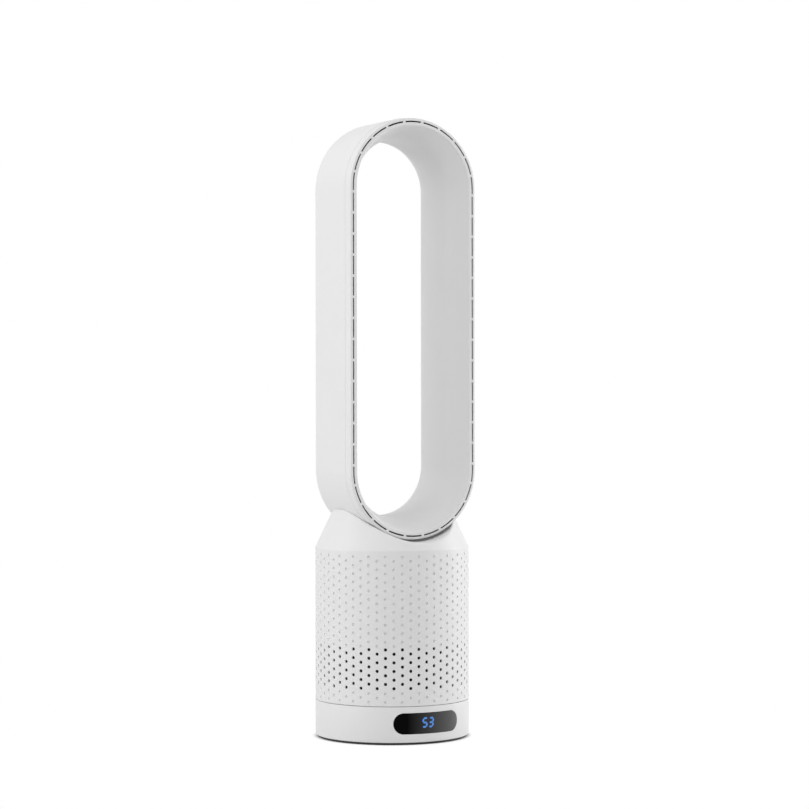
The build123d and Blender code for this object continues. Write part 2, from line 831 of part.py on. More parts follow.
def impeller():
    """The mixed-flow impeller: a conical hub with swept blades that follow the duct's cone."""
    bore = flat_radius(shaft_radius, inner_sides)
    boss_top = impeller_bottom + impeller_height / 2
    outline = [
        (bore, impeller_bottom),
        (hub_inlet_radius, impeller_bottom),
        (pod_radius, impeller_top),
        (pod_radius - duct_wall, impeller_top),
        (3 * shaft_radius, impeller_bottom + 3 * duct_wall),
        (3 * shaft_radius, boss_top),
        (bore, boss_top),
    ]
    rise = impeller_height - blade_margin
    stations = []
    for k in range(blade_steps + 1):
        share = k / blade_steps
        height = impeller_bottom + blade_margin + (rise - blade_margin) * share
        hub_here = hub_inlet_radius + (pod_radius - hub_inlet_radius) * (height - impeller_bottom) / impeller_height
        tip = duct_inner(height - duct_bottom) - tip_gap
        stations.append((height, hub_here - duct_wall, tip, blade_turn * share))
    return turned(outline, inner_sides) + around(twisted_blade(stations), blade_count)


def diffuser():
    """The motor pod, and the still vanes that carry it in the duct and straighten the air."""
    pod_top = pod_bottom + pod_height
    pod = tube(pod_radius, 0, pod_bottom, pod_top, inner_sides)
    pod -= prism(pod_radius - duct_wall, pod_bottom + duct_wall, pod_top, inner_sides)
    pod -= prism(bearing_radius + duct_wall, pod_bottom, pod_bottom + duct_wall, inner_sides)
    reach = duct_inner(duct_cone_height) - fit_gap
    bottom = pod_bottom + duct_wall
    stations = []
    for k in range(vane_steps + 1):
        share = k / vane_steps
        root = pod_radius - vane_root_depth
        stations.append((bottom + vane_height * share, root, reach, vane_turn * (1 - share)))
    return pod + around(twisted_blade(stations), vane_count)


def neck_duct():
    """The funnel from the duct's top up through the saddle into the loop."""
    neck_bottom = crease_height + wall
    top = loop_bottom + neck_reach
    outline = [
        (duct_radius, duct_top),
        (neck_radius - duct_wall, neck_bottom),
        (neck_radius - duct_wall, top),
        (neck_radius, top),
        (neck_radius, neck_bottom),
        (duct_radius + duct_wall, duct_top + duct_wall),
        (duct_radius + duct_wall, duct_top),
    ]
    return turned(outline, duct_sides)


def neck_seal():
    """The rubber ring round the neck, under the saddle."""
    top = loop_bottom - saddle_gap - wall
    return tube(neck_radius + seal_width, neck_radius + fit_gap, top - seal_thickness, top, duct_sides)


def motor_housing():
    """The fan motor's can, closed below, with a seat for the lower bearing."""
    floor_top = motor_bottom + motor_wall
    can = tube(motor_radius, 0, motor_bottom, motor_top, inner_sides)
    can -= prism(motor_radius - motor_wall, floor_top, motor_top, inner_sides)
    can += tube(bearing_radius + motor_wall, bearing_radius, floor_top, floor_top + bearing_height / 2, inner_sides)
    return can - prism(bearing_radius - motor_wall, motor_bottom, floor_top, inner_sides)


def motor_cap():
    """The fan motor's top plate, which holds the upper bearing."""
    return tube(motor_radius, bearing_radius, motor_top, motor_top + motor_cap_thickness, inner_sides)


def motor_stator():
    """The wound stator round the rotor, as a ring."""
    outer = motor_radius - motor_wall - fit_gap
    return tube(outer, rotor_radius + rotor_gap, motor_bottom + motor_wall, motor_top, inner_sides)


def motor_rotor():
    """The rotor on the fan motor's shaft."""
    bottom = motor_bottom + motor_wall + bearing_height + rotor_gap
    return tube(rotor_radius, shaft_radius, bottom, motor_top - bearing_height, inner_sides)


def motor_shaft():
    """The shaft through rotor, bearings and impeller."""
    return round_tube(shaft_radius, 0, impeller_bottom, motor_top + motor_cap_thickness)


def motor_bearings():
    """The two ball bearings, as rings."""
    low = motor_bottom + motor_wall
    high = motor_top + motor_cap_thickness - bearing_height
    bore = shaft_radius + running_gap
    return Compound([tube(bearing_radius, bore, at, at + bearing_height, inner_sides) for at in (low, high)])


def motor_mount():
    """The rubber ring that holds the motor in its pod."""
    bottom = pod_bottom + duct_wall
    outer = pod_radius - duct_wall
    floor = tube(outer, bearing_radius + duct_wall, bottom, motor_bottom, inner_sides)
    return floor + tube(outer, motor_radius, motor_bottom, motor_bottom + motor_mount_height, inner_sides)


def drive_board():
    """The motor's control board, on the turntable's ribs."""
    length, width, thickness = drive_board_size
    bottom = turntable_top + turntable_rib[1]
    board = block(length, width, bottom, bottom + thickness)
    board += Pos(length / 5, 0, 0) * block(length / 3, width / 2, bottom + thickness, bottom + 4 * thickness)
    place = (body_bore + turntable_hub_radius) / 2
    return swung(Pos(0, -place, 0) * board, 180)


def foot_pad():
    """The non-slip rubber disc that the fan stands on."""
    return tube(body_radius - foot_inset, 0, 0, foot_height, disc_sides)


def display_lens():
    """The dark window, flush with the band."""
    return pill(body_radius - display_thickness, body_radius - fit_gap, -fit_gap)


def all_parts():
    """Every node of the fan, by name."""
    ring_section, inner_section, shell_section = loop_sections()
    return {
        "outlet_ring": outlet_ring(ring_section),
        "loop_inner_shell": loop_sweep(inner_section),
        "loop_outer_shell": loop_shell(shell_section),
        "loop_screws": loop_screws(),
        "shoulder_cover": shoulder_cover(),
        "intake_grille": intake_grille(),
        "turntable": turntable(),
        "head_gear": head_gear(),
        "gear_screws": gear_screws(),
        "drive_board": drive_board(),
        "impeller_duct": impeller_duct(),
        "diffuser": diffuser(),
        "neck_duct": neck_duct(),
        "neck_seal": neck_seal(),
        "motor_mount": motor_mount(),
        "motor_housing": motor_housing(),
        "motor_cap": motor_cap(),
        "motor_stator": motor_stator(),
        "motor_bearings": motor_bearings(),
        "motor_rotor": motor_rotor(),
        "motor_shaft": motor_shaft(),
        "impeller": impeller(),
        "base_shell": base_shell(),
        "base_plate": base_plate(),
        "foot_pad": foot_pad(),
        "display_lens": display_lens(),
        "display_board": display_board(),
        "digit_module": digit_module(),
        "control_board": control_board(),
        "cord_gland": cord_gland(),
        "slide_pads": slide_pads(),
        "spindle_cap": spindle_cap(),
        "base_screws": base_screws(),
        "oscillation_motor": oscillation_motor(),
        "drive_screws": drive_screws(),
        "pinion_shaft": pinion_shaft(),
        "drive_pinion": drive_pinion(),
    }


os.makedirs("parts", exist_ok=True)
for name, shape in all_parts().items():
    export_step(shape, f"parts/{name}.step")
    print(name, "volume", round(shape.volume), "mm3")
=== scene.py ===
"""Bladeless tower fan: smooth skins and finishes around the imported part.

Metres, +Z up, the fan axis is Z, the floor is z = 0 and the loop blows towards -Y.
Azimuths are counted from -Y towards +X. A section of the air loop is drawn at
(distance from the loop's centre line, y) and carried round a stadium.
"""
import json
import logging
from dataclasses import dataclass
from enum import Enum, IntEnum
from math import pi, radians, tan
from typing import Any, Optional, Sequence, Union

import bmesh
import bpy
import numpy as np
from mathutils import Euler, Matrix, Vector

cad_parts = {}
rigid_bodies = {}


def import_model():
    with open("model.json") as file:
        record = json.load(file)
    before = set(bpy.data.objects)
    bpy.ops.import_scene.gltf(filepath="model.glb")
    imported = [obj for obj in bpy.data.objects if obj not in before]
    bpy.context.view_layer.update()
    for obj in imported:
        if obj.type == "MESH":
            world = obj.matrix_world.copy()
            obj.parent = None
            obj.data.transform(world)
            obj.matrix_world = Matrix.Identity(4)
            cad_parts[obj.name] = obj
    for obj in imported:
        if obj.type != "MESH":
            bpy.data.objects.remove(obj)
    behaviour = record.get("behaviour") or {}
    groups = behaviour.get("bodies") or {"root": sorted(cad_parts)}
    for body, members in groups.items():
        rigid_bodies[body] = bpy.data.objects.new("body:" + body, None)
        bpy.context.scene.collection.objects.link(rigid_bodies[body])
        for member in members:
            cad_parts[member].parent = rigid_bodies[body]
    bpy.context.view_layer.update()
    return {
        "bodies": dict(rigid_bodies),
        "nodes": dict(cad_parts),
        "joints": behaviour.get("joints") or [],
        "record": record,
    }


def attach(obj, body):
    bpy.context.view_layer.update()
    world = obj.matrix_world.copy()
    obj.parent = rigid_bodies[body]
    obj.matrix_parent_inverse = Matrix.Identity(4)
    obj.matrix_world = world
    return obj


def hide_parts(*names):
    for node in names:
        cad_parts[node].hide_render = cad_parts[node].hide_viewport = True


log = logging.getLogger("fan")

Pair = tuple[float, float]
Triple = tuple[float, float, float]
Number = Union[float, "Wire"]
Lengths = Union[float, np.ndarray]
Path = Union[Sequence[Pair], np.ndarray]

MERGE = 1e-6          # points closer than this are one point
CRISP = 35.0          # edges that turn by more than this many degrees stay crisp
CORNER_FLATS = 4      # in each rounded corner of a turned piece's section
BASE_TURN = 2.8       # the azimuth of the display, in degrees, with the loop's front at 0


# ---------------------------------------------------------------- shader maths
class Wire:
    """A number in a material, on which Python's operators add Math nodes."""

    def __init__(self, paint: "Paint", socket: Any) -> None:
        """Keeps the material that the number belongs to, and its socket."""
        self.paint = paint
        self.socket = socket

    def _math(self, operation: str, first: Number, second: Number) -> "Wire":
        """Adds one Math node.

        Args:
            operation: the Math node's operation.
            first: its first operand.
            second: its second operand.

        Returns:
            The result as a number that goes on into the material.
        """
        return self.paint.wire("ShaderNodeMath", {"operation": operation}, {0: first, 1: second})

    def __add__(self, other: Number) -> "Wire":
        """Sum."""
        return self._math("ADD", self, other)

    __radd__ = __add__

    def __sub__(self, other: Number) -> "Wire":
        """Difference."""
        return self._math("SUBTRACT", self, other)

    def __rsub__(self, other: Number) -> "Wire":
        """Difference from a plain number."""
        return self._math("SUBTRACT", other, self)

    def __mul__(self, other: Number) -> "Wire":
        """Product."""
        return self._math("MULTIPLY", self, other)

    __rmul__ = __mul__

    def __gt__(self, other: Number) -> "Wire":
        """1 where this number is the larger one, else 0."""
        return self._math("GREATER_THAN", self, other)

    def __lt__(self, other: Number) -> "Wire":
        """1 where this number is the smaller one, else 0."""
        return self._math("LESS_THAN", self, other)

    def swing(self, width: float) -> "Wire":
        """This number, which runs from 0 to 1, as a change of half a width up or down."""
        return (self - 0.5) * width


class Paint:
    """A material or world under construction. A surface also has its material and its shader."""

    material: bpy.types.Material
    shader: Any
    mix_inputs = (0, 6, 7)     # the Mix node's share and its two colours
    mix_result = 2

    def __init__(self, tree: Any) -> None:
        """Starts on an emptied node tree."""
        self.tree = tree
        self.tree.nodes.clear()

    @classmethod
    def surface(cls, name: str) -> "Paint":
        """Starts a new material.

        Args:
            name: of the material.

        Returns:
            The material under construction, with a Principled shader on its output.
        """
        material = bpy.data.materials.new(name)
        material.use_nodes = True
        paint = cls(material.node_tree)
        paint.material = material
        paint.shader = paint.node("ShaderNodeBsdfPrincipled")
        paint.node("ShaderNodeOutputMaterial", None, {"Surface": paint.shader.outputs[0]})
        return paint

    def node(self, kind: str, settings: Optional[dict] = None, inputs: Optional[dict] = None) -> Any:
        """Adds any node.

        Args:
            kind: the node's Blender type.
            settings: attributes that are set first, such as an operation.
            inputs: socket name or number to a value, a colour or a number in the material.

        Returns:
            The node.
        """
        node = self.tree.nodes.new(kind)
        for key, value in (settings or {}).items():
            setattr(node, key, value)
        for key, value in (inputs or {}).items():
            self.feed(node.inputs[key], value)
        return node

    def feed(self, socket: Any, value: Any) -> None:
        """Sets a socket to a value or a colour, or links it.

        Args:
            socket: the input socket.
            value: a plain value, a colour of three channels, a number or another node's output.
        """
        if isinstance(value, Wire):
            value = value.socket
        if isinstance(value, bpy.types.NodeSocket):
            self.tree.links.new(value, socket)
        elif socket.type == "RGBA":
            socket.default_value = (*value, 1.0)
        else:
            socket.default_value = value

    def wire(self, kind: str, settings: Optional[dict] = None, inputs: Optional[dict] = None,
             output: Union[int, str] = 0) -> Wire:
        """Adds any node and returns one of its outputs as a number."""
        return Wire(self, self.node(kind, settings, inputs).outputs[output])

    def place(self, stretch: Triple = (1.0, 1.0, 1.0)) -> Any:
        """Object coordinates, with each axis multiplied by a stretch."""
        source = self.node("ShaderNodeTexCoord").outputs["Object"]
        return self.node("ShaderNodeMapping", None, {"Vector": source, "Scale": stretch}).outputs[0]

    def noise(self, scale: float, detail: float = 2.0, stretch: Triple = (1.0, 1.0, 1.0)) -> Wire:
        """Cloudy noise from 0 to 1, with `scale` features to the metre."""
        inputs = {"Vector": self.place(stretch), "Scale": scale, "Detail": detail}
        return self.wire("ShaderNodeTexNoise", None, inputs)

    def blend(self, share: Number, first: Any, second: Any) -> Any:
        """Mixes two colours.

        Args:
            share: 0 for the first colour, 1 for the second.
            first: a colour, or another node's output.
            second: a colour, or another node's output.

        Returns:
            The output with the mixed colour.
        """
        node = self.node("ShaderNodeMix", {"data_type": "RGBA"})
        for number, value in zip(self.mix_inputs, (share, first, second)):
            self.feed(node.inputs[number], value)
        return node.outputs[self.mix_result]

    def bump(self, height: Number, depth: float) -> None:
        """Raises the surface by a height from 0 to 1 times a depth in metres."""
        inputs = {"Height": height, "Distance": depth, "Strength": 1.0}
        self.feed(self.shader.inputs["Normal"], self.node("ShaderNodeBump", None, inputs).outputs[0])

    def finish(self, **sockets: Any) -> bpy.types.Material:
        """Sets the shader's sockets.

        Args:
            sockets: values by socket name, with underscores for spaces.

        Returns:
            The finished material.
        """
        for key, value in sockets.items():
            self.feed(self.shader.inputs[key.replace("_", " ")], value)
        return self.material


def scaled(colour: Triple, factor: float) -> Triple:
    """A colour with each channel multiplied by a factor."""
    return tuple(channel * factor for channel in colour)


# ---------------------------------------------------------------- finishes
@dataclass(frozen=True)
class MouldedPlastic:
    """Injection-moulded plastic: a fine spark-eroded grain, slight clouding and uneven gloss."""

    name: str
    colour: Triple
    shade: float = 0.975       # of the colour, in the darker clouds
    roughness: float = 0.42
    grain: float = 2600.0      # features to the metre
    depth: float = 0.000012    # of the grain
    clouds: float = 14.0       # features to the metre

    def make(self) -> bpy.types.Material:
        """Mixes clouds into the colour and raises the grain.

        Returns:
            The material.
        """
        paint = Paint.surface(self.name)
        clouds = paint.noise(self.clouds, detail=3.0)
        grain = paint.noise(self.grain)
        colour = paint.blend(clouds, self.colour, scaled(self.colour, self.shade))
        paint.bump(grain, self.depth)
        rough = self.roughness + grain.swing(0.10) + clouds.swing(0.05)
        return paint.finish(Base_Color=colour, Roughness=rough, IOR=1.46, Specular_IOR_Level=0.4)


@dataclass(frozen=True)
class GlossLens:
    """The black display window: tinted plastic with faint dust and waviness.

    Its clear top layer grows stronger towards +X, a painted sheen in place of a lamp's reflection: its
    weight is 0 at coat[0] and 1 at coat[1], in metres.
    """

    name: str
    colour: Triple = (0.0012, 0.0012, 0.0015)
    dusty: Triple = (0.008, 0.008, 0.009)
    dust: float = 1500.0           # features to the metre
    dust_level: float = 0.72       # of the noise, over which there is dust
    waves: float = 30.0            # features to the metre
    depth: float = 0.00004         # of the waves
    # painted sheen: where the clear top layer's weight rises from 0 to 1 along +X, in metres
    coat: Pair = (-0.025, 0.052)

    def make(self) -> bpy.types.Material:
        """Scatters dust on the tint and lays a clear top layer over it, whose weight rises along +X as a
        painted sheen.

        Returns:
            The material.
        """
        paint = Paint.surface(self.name)
        dust = paint.noise(self.dust, detail=4.0) > self.dust_level
        colour = paint.blend(dust * 0.5, self.colour, self.dusty)
        paint.bump(paint.noise(self.waves, detail=1.0), self.depth)
        across = paint.wire("ShaderNodeSeparateXYZ", None, {0: paint.place()}, "X")
        # the clear top layer's weight rises along +X: a painted sheen that stands in for a reflection
        painted_sheen_ramp = {"Value": across, "From Min": self.coat[0], "From Max": self.coat[1]}
        return paint.finish(Base_Color=colour, Roughness=0.30 + dust * 0.1, IOR=1.5,
                            Specular_IOR_Level=0.03, Coat_Roughness=0.25, Coat_IOR=1.9,
                            Coat_Weight=paint.wire("ShaderNodeMapRange", None, painted_sheen_ramp))


@dataclass(frozen=True)
class LitSegment:
    """A lit display segment: a blue glow with lighter specks."""

    name: str
    colour: Triple = (0.045, 0.20, 0.62)
    lighter: Triple = (0.08, 0.27, 0.68)
    unlit: Triple = (0.01, 0.02, 0.06)
    specks: float = 1800.0         # features to the metre
    strength: float = 1.0

    def make(self) -> bpy.types.Material:
        """Mixes the specks into the glow.

        Returns:
            The material.
        """
        paint = Paint.surface(self.name)
        glow = paint.blend(paint.noise(self.specks) * 0.35, self.colour, self.lighter)
        return paint.finish(Base_Color=self.unlit, Roughness=0.3, Emission_Color=glow,
                            Emission_Strength=self.strength)


@dataclass(frozen=True)
class SoftRubber:
    """Dark moulded rubber: matt, with a pebbled surface."""

    name: str
    colour: Triple = (0.022, 0.022, 0.024)
    shade: float = 1.8             # times the colour, on the lighter pebbles
    pebbles: float = 900.0         # features to the metre
    depth: float = 0.00005         # of the pebbles

    def make(self) -> bpy.types.Material:
        """Lightens and raises the pebbles.

        Returns:
            The material.
        """
        paint = Paint.surface(self.name)
        pebbles = paint.noise(self.pebbles, detail=3.0)
        paint.bump(pebbles, self.depth)
        return paint.finish(Base_Color=paint.blend(pebbles, self.colour, scaled(self.colour, self.shade)),
                            Roughness=0.7 + pebbles.swing(0.2))


@dataclass(frozen=True)
class WorkedMetal:
    """Turned or drawn metal: fine lines across the fan axis, and patches of duller surface."""

    name: str
    colour: Triple
    roughness: float = 0.32
    lines: Triple = (60.0, 60.0, 4000.0)       # features to the metre along each axis
    depth: float = 0.00001                     # of the lines
    patches: float = 120.0                     # features to the metre
    shade: float = 0.8                         # of the colour, in the duller patches

    def make(self) -> bpy.types.Material:
        """Raises the lines and dulls the patches.

        Returns:
            The material.
        """
        paint = Paint.surface(self.name)
        lines = paint.noise(1.0, stretch=self.lines)
        patches = paint.noise(self.patches, detail=3.0)
        paint.bump(lines, self.depth)
        colour = paint.blend(patches, self.colour, scaled(self.colour, self.shade))
        rough = self.roughness + lines.swing(0.2) + patches.swing(0.15)
        return paint.finish(Base_Color=colour, Metallic=1.0, Roughness=rough)


@dataclass(frozen=True)
class CopperWinding:
    """Enamelled wire laid in even turns, as ridges along the height."""

    name: str
    # painted shade: the darker colour in the valleys between the turns
    valley: Triple = (0.16, 0.05, 0.015)
    ridge: Triple = (0.52, 0.20, 0.07)
    turns: float = 70.0            # the Wave texture's scale
    depth: float = 0.0002          # of the ridges

    def make(self) -> bpy.types.Material:
        """Darkens the valleys between the turns with painted shade, and raises the turns.

        Returns:
            The material.
        """
        paint = Paint.surface(self.name)
        bands = {"Vector": paint.place(), "Scale": self.turns, "Distortion": 0.6}
        ridge = paint.wire("ShaderNodeTexWave", {"bands_direction": "Z"}, bands, "Fac")
        paint.bump(ridge, self.depth)
        return paint.finish(Base_Color=paint.blend(ridge, self.valley, self.ridge), Metallic=0.8,
                            Roughness=0.3 + (1 - ridge) * 0.2)


@dataclass(frozen=True)
class CircuitBoard:
    """Green solder mask over raised copper tracks, with bright pads in a regular pitch."""

    name: str
    mask: Triple = (0.010, 0.085, 0.035)
    mask_on_track: Triple = (0.020, 0.150, 0.060)
    pad: Triple = (0.62, 0.62, 0.60)
    pitch: float = 0.00254
    pad_size: float = 0.22         # of the pitch
    wander: float = 170.0          # features to the metre, of the tracks
    track: float = 0.015           # of the noise, either side of its middle, that is a track
    depth: float = 0.00006         # of the copper

    def make(self) -> bpy.types.Material:
        """Draws tracks where the noise is near its middle, and pads at each cell's middle.

        Returns:
            The material.
        """
        paint = Paint.surface(self.name)
        cells = {"Vector": paint.place(), "Scale": 1 / self.pitch, "Randomness": 0.0}
        pads = paint.wire("ShaderNodeTexVoronoi", None, cells, "Distance") < self.pad_size
        level = paint.noise(self.wander, detail=1.0) - 0.5
        raised = (level > -self.track) * (level < self.track)
        mask = paint.blend(raised, self.mask, self.mask_on_track)
        paint.bump(raised + pads, self.depth)
        return paint.finish(Base_Color=paint.blend(pads, mask, self.pad), Metallic=pads * 0.9,
                            Roughness=0.35 + (1 - pads) * 0.1)


class Slot(Enum):
    """The record's material slots, each with the finish that this scene gives it."""

    loop_plastic = MouldedPlastic("white loop plastic", (0.80, 0.80, 0.80))
    casing_plastic = MouldedPlastic("white casing plastic", (0.80, 0.80, 0.80))
    lens_plastic = GlossLens("black display lens")
    frame_plastic = MouldedPlastic("grey frame plastic", (0.10, 0.10, 0.11), shade=0.85,
                                   roughness=0.5, grain=1800.0, depth=0.00002)
    impeller_plastic = MouldedPlastic("black impeller nylon", (0.03, 0.03, 0.032), shade=0.8,
                                      roughness=0.45, grain=1500.0, depth=0.00002)
    gear_plastic = MouldedPlastic("natural gear resin", (0.62, 0.60, 0.54), shade=0.93,
                                  roughness=0.38, grain=2000.0, depth=0.00001)
    rubber = SoftRubber("black rubber")
    screw_steel = WorkedMetal("zinc-plated screw steel", (0.55, 0.56, 0.58))
    shaft_steel = WorkedMetal("ground shaft steel", (0.62, 0.62, 0.63), roughness=0.2)
    motor_metal = WorkedMetal("pressed motor steel", (0.42, 0.42, 0.43), roughness=0.4)
    drive_case = MouldedPlastic("black drive case", (0.035, 0.035, 0.038), shade=0.8,
                                roughness=0.5, grain=1700.0, depth=0.00002)
    winding = CopperWinding("enamelled winding")
    board = CircuitBoard("circuit board")
    digits = LitSegment("blue display segments")


class Finishes:
    """Makes each slot's material once, and hands it out."""

    def __init__(self) -> None:
        """Starts with no material made."""
        self._made: dict[Slot, bpy.types.Material] = {}

    def get(self, slot: Slot) -> bpy.types.Material:
        """Makes a slot's material the first time, and finds it again after that.

        Args:
            slot: the slot.

        Returns:
            Its material.
        """
        if slot not in self._made:
            self._made[slot] = slot.value.make()
        return self._made[slot]


# ---------------------------------------------------------------- paths and points
def smooth(share: np.ndarray) -> np.ndarray:
    """A share from 0 to 1 that starts and ends gently: 3t² - 2t³, and flat outside."""
    share = np.clip(share, 0, 1)
    return share ** 2 * (3 - 2 * share)


def left(way: np.ndarray) -> np.ndarray:
    """Flat directions turned by a quarter to the left: (-y, x)."""
    return np.stack([-way[:, 1], way[:, 0]], 1)


def ways(points: np.ndarray) -> tuple[np.ndarray, np.ndarray, np.ndarray]:
    """The directions of a path at its points.

    The first point is reached, and the last one left, in the direction of the side next to it.
    The sine of a turn from (a, b) to (c, d) is a·d - b·c.

    Args:
        points: the path's points, points × 2.

    Returns:
        The unit directions before and after each point, and the sine of the turn there.
    """
    way = np.diff(points, axis=0)
    way /= np.linalg.norm(way, axis=1)[:, None]
    before, after = np.vstack([way[:1], way]), np.vstack([way, way[-1:]])
    return before, after, before[:, 0] * after[:, 1] - before[:, 1] * after[:, 0]


def rounded(corners: Path, radii: Sequence[float], steps: int) -> np.ndarray:
    """A flat path with rounded corners.

    At a corner that turns by t, an arc of radius r starts r·tan(t/2) before the corner. Its points
    are the arc's start turned about its centre by equal shares of t. Radius 0 keeps the corner.

    Args:
        corners: the path's corners in order.
        radii: a radius for each corner, 0 at both ends.
        steps: flats in each arc.

    Returns:
        The points, corners × (steps + 1) × 2.
    """
    points = np.array(corners, float)
    reach = np.array(radii, float)
    before, after, sine = ways(points)
    turn = np.arctan2(sine, (before * after).sum(1))
    start = points - before * (reach * np.abs(np.tan(turn / 2)))[:, None]
    centre = start + left(before) * (np.sign(turn) * reach)[:, None]
    angle = turn[:, None] * np.linspace(0, 1, steps + 1)
    arm = (start - centre)[:, None, :]
    turned = np.stack([arm[..., 0] * np.cos(angle) - arm[..., 1] * np.sin(angle),
                       arm[..., 0] * np.sin(angle) + arm[..., 1] * np.cos(angle)], -1)
    return centre[:, None, :] + turned


def inset(corners: Path, radii: Sequence[float], wall: float) -> tuple[np.ndarray, np.ndarray]:
    """A path's corners and radii moved to the right of the path by a wall.

    A corner moves by wall·(a + b)/(1 + a·b), where a and b are the sides' unit normals. A radius
    grows or shrinks by the wall, and never falls under 0.

    Args:
        corners: the path's corners in order.
        radii: a radius for each corner.
        wall: how far to move.

    Returns:
        The moved corners and their radii.
    """
    points = np.array(corners, float)
    before, after, sine = ways(points)
    first, second = -left(before), -left(after)
    moved = points + wall * (first + second) / (1 + (first * second).sum(1))[:, None]
    reach = np.array(radii, float)
    return moved, np.where(reach > 0, np.maximum(reach + np.sign(sine) * wall, 0), 0)


def about(radius: Lengths, azimuth: Lengths, height: Lengths) -> np.ndarray:
    """Points about the fan axis: x = r·sin a, y = -r·cos a, z = height.

    Args:
        radius: distances from the axis.
        azimuth: turns about the axis, in radians.
        height: heights over the floor.

    Returns:
        The points, with a last axis of x, y, z. The arguments are spread to one shape.
    """
    flat = np.broadcast_arrays(radius * np.sin(azimuth), -radius * np.cos(azimuth), height)
    return np.stack(flat, -1)


def lathe(profile: np.ndarray, sides: int, start: float = 0.0) -> np.ndarray:
    """A (radius, height) profile turned about the fan axis, from a start in radians."""
    angle = start + np.linspace(0, 2 * pi, sides, endpoint=False)
    return about(profile[:, :1], angle, profile[:, 1:])


def wrapped(along: np.ndarray, height: np.ndarray, radius: float, azimuth: float) -> np.ndarray:
    """A flat pattern wrapped round the fan axis: a length along the band becomes length / radius.

    Args:
        along: lengths along the band from the pattern's middle.
        height: heights over the floor.
        radius: where the pattern lies.
        azimuth: of its middle, in degrees.

    Returns:
        The points, with a last axis of x, y, z.
    """
    return about(radius, radians(azimuth) + along / FORM.radius, height)


# ---------------------------------------------------------------- pieces
class Skin:
    """Grids of points and the faces between them, gathered for one piece."""

    def __init__(self, name: str) -> None:
        """Starts an empty piece.

        Args:
            name: of the piece.
        """
        self.name = name
        self.count = 0
        self._points: list[np.ndarray] = []
        self._faces: list[np.ndarray] = []

    def grid(self, points: np.ndarray, keep: Optional[np.ndarray] = None,
             around: bool = False) -> np.ndarray:
        """Adds a grid of points with four-sided faces between neighbours.

        Args:
            points: rows × columns × 3.
            keep: for each cell, whether it has a face.
            around: whether the last column joins the first.

        Returns:
            The points' numbers, rows × columns.
        """
        rows, columns = points.shape[:2]
        index = self.count + np.arange(rows * columns).reshape(rows, columns)
        ring = np.concatenate([index, index[:, :1]], axis=1) if around else index
        cells = np.stack([ring[:-1, :-1], ring[1:, :-1], ring[1:, 1:], ring[:-1, 1:]], axis=-1)
        self._faces.append((cells if keep is None else cells[keep]).reshape(-1, 4))
        self._points.append(points.reshape(-1, 3))
        self.count += rows * columns
        return index

    def blocks(self, points: np.ndarray) -> None:
        """Adds many separate grids of one shape.

        Args:
            points: blocks × rows × columns × 3.
        """
        blocks, rows, columns = points.shape[:3]
        inside = np.arange(blocks * rows - 1) % rows < rows - 1
        keep = np.repeat(inside[:, None], columns - 1, axis=1)
        self.grid(points.reshape(blocks * rows, columns, 3), keep)

    def bridge(self, first: np.ndarray, second: np.ndarray) -> None:
        """Adds faces between two equally long rows of points, given by their numbers."""
        cells = np.stack([first[..., :-1], first[..., 1:], second[..., 1:], second[..., :-1]], axis=-1)
        self._faces.append(cells.reshape(-1, 4))

    def slab(self, first: np.ndarray, second: np.ndarray) -> None:
        """Adds two grids of one shape and the walls between their borders.

        Args:
            first: rows × columns × 3.
            second: rows × columns × 3.
        """
        near, far = self.grid(first), self.grid(second)
        for border in (np.s_[0], np.s_[-1], np.s_[:, 0], np.s_[:, -1]):
            self.bridge(near[border], far[border])

    def build(self) -> bpy.types.Object:
        """Makes the mesh, merged and facing outwards.

        Returns:
            The object, at the origin.
        """
        mesh = bpy.data.meshes.new(self.name)
        mesh.from_pydata(np.concatenate(self._points), [], np.concatenate(self._faces).tolist())
        piece = bpy.data.objects.new(self.name, mesh)
        bpy.context.scene.collection.objects.link(piece)
        tidy(piece)
        return piece


def tidy(piece: bpy.types.Object) -> None:
    """Merges a mesh's doubles, turns its faces outwards and shades it smooth between crisp edges.

    Args:
        piece: the piece whose mesh is changed.
    """
    shell = bmesh.new()
    shell.from_mesh(piece.data)
    bmesh.ops.remove_doubles(shell, verts=shell.verts, dist=MERGE)
    bmesh.ops.recalc_face_normals(shell, faces=shell.faces)
    shell.to_mesh(piece.data)
    shell.free()
    piece.data.polygons.foreach_set("use_smooth", np.ones(len(piece.data.polygons), bool))
    piece.data.set_sharp_from_angle(angle=radians(CRISP))


def settle(piece: bpy.types.Object) -> bpy.types.Object:
    """Turns a piece's modifiers into plain mesh and tidies it.

    Args:
        piece: the piece with its modifiers.

    Returns:
        The same piece.
    """
    bpy.context.view_layer.update()
    graph = bpy.context.evaluated_depsgraph_get()
    mesh = bpy.data.meshes.new_from_object(piece.evaluated_get(graph))
    piece.modifiers.clear()
    piece.data = mesh
    tidy(piece)
    return piece


def carve(piece: bpy.types.Object, *cutters: bpy.types.Object) -> bpy.types.Object:
    """Cuts closed shapes out of a closed piece, and removes the shapes.

    Args:
        piece: the piece to cut.
        cutters: the shapes that are cut away.

    Returns:
        The same piece.
    """
    for cutter in cutters:
        cut = piece.modifiers.new("cut", "BOOLEAN")
        cut.operation = "DIFFERENCE"
        cut.solver = "EXACT"
        cut.object = cutter
    settle(piece)
    for cutter in cutters:
        bpy.data.objects.remove(cutter)
    return piece


def thicken(piece: bpy.types.Object, wall: float) -> bpy.types.Object:
    """Gives an open skin a wall behind it.

    Args:
        piece: the skin.
        wall: how thick.

    Returns:
        The same piece, closed.
    """
    solid = piece.modifiers.new("wall", "SOLIDIFY")
    solid.thickness = wall
    solid.offset = -1.0
    solid.use_even_offset = True
    return settle(piece)


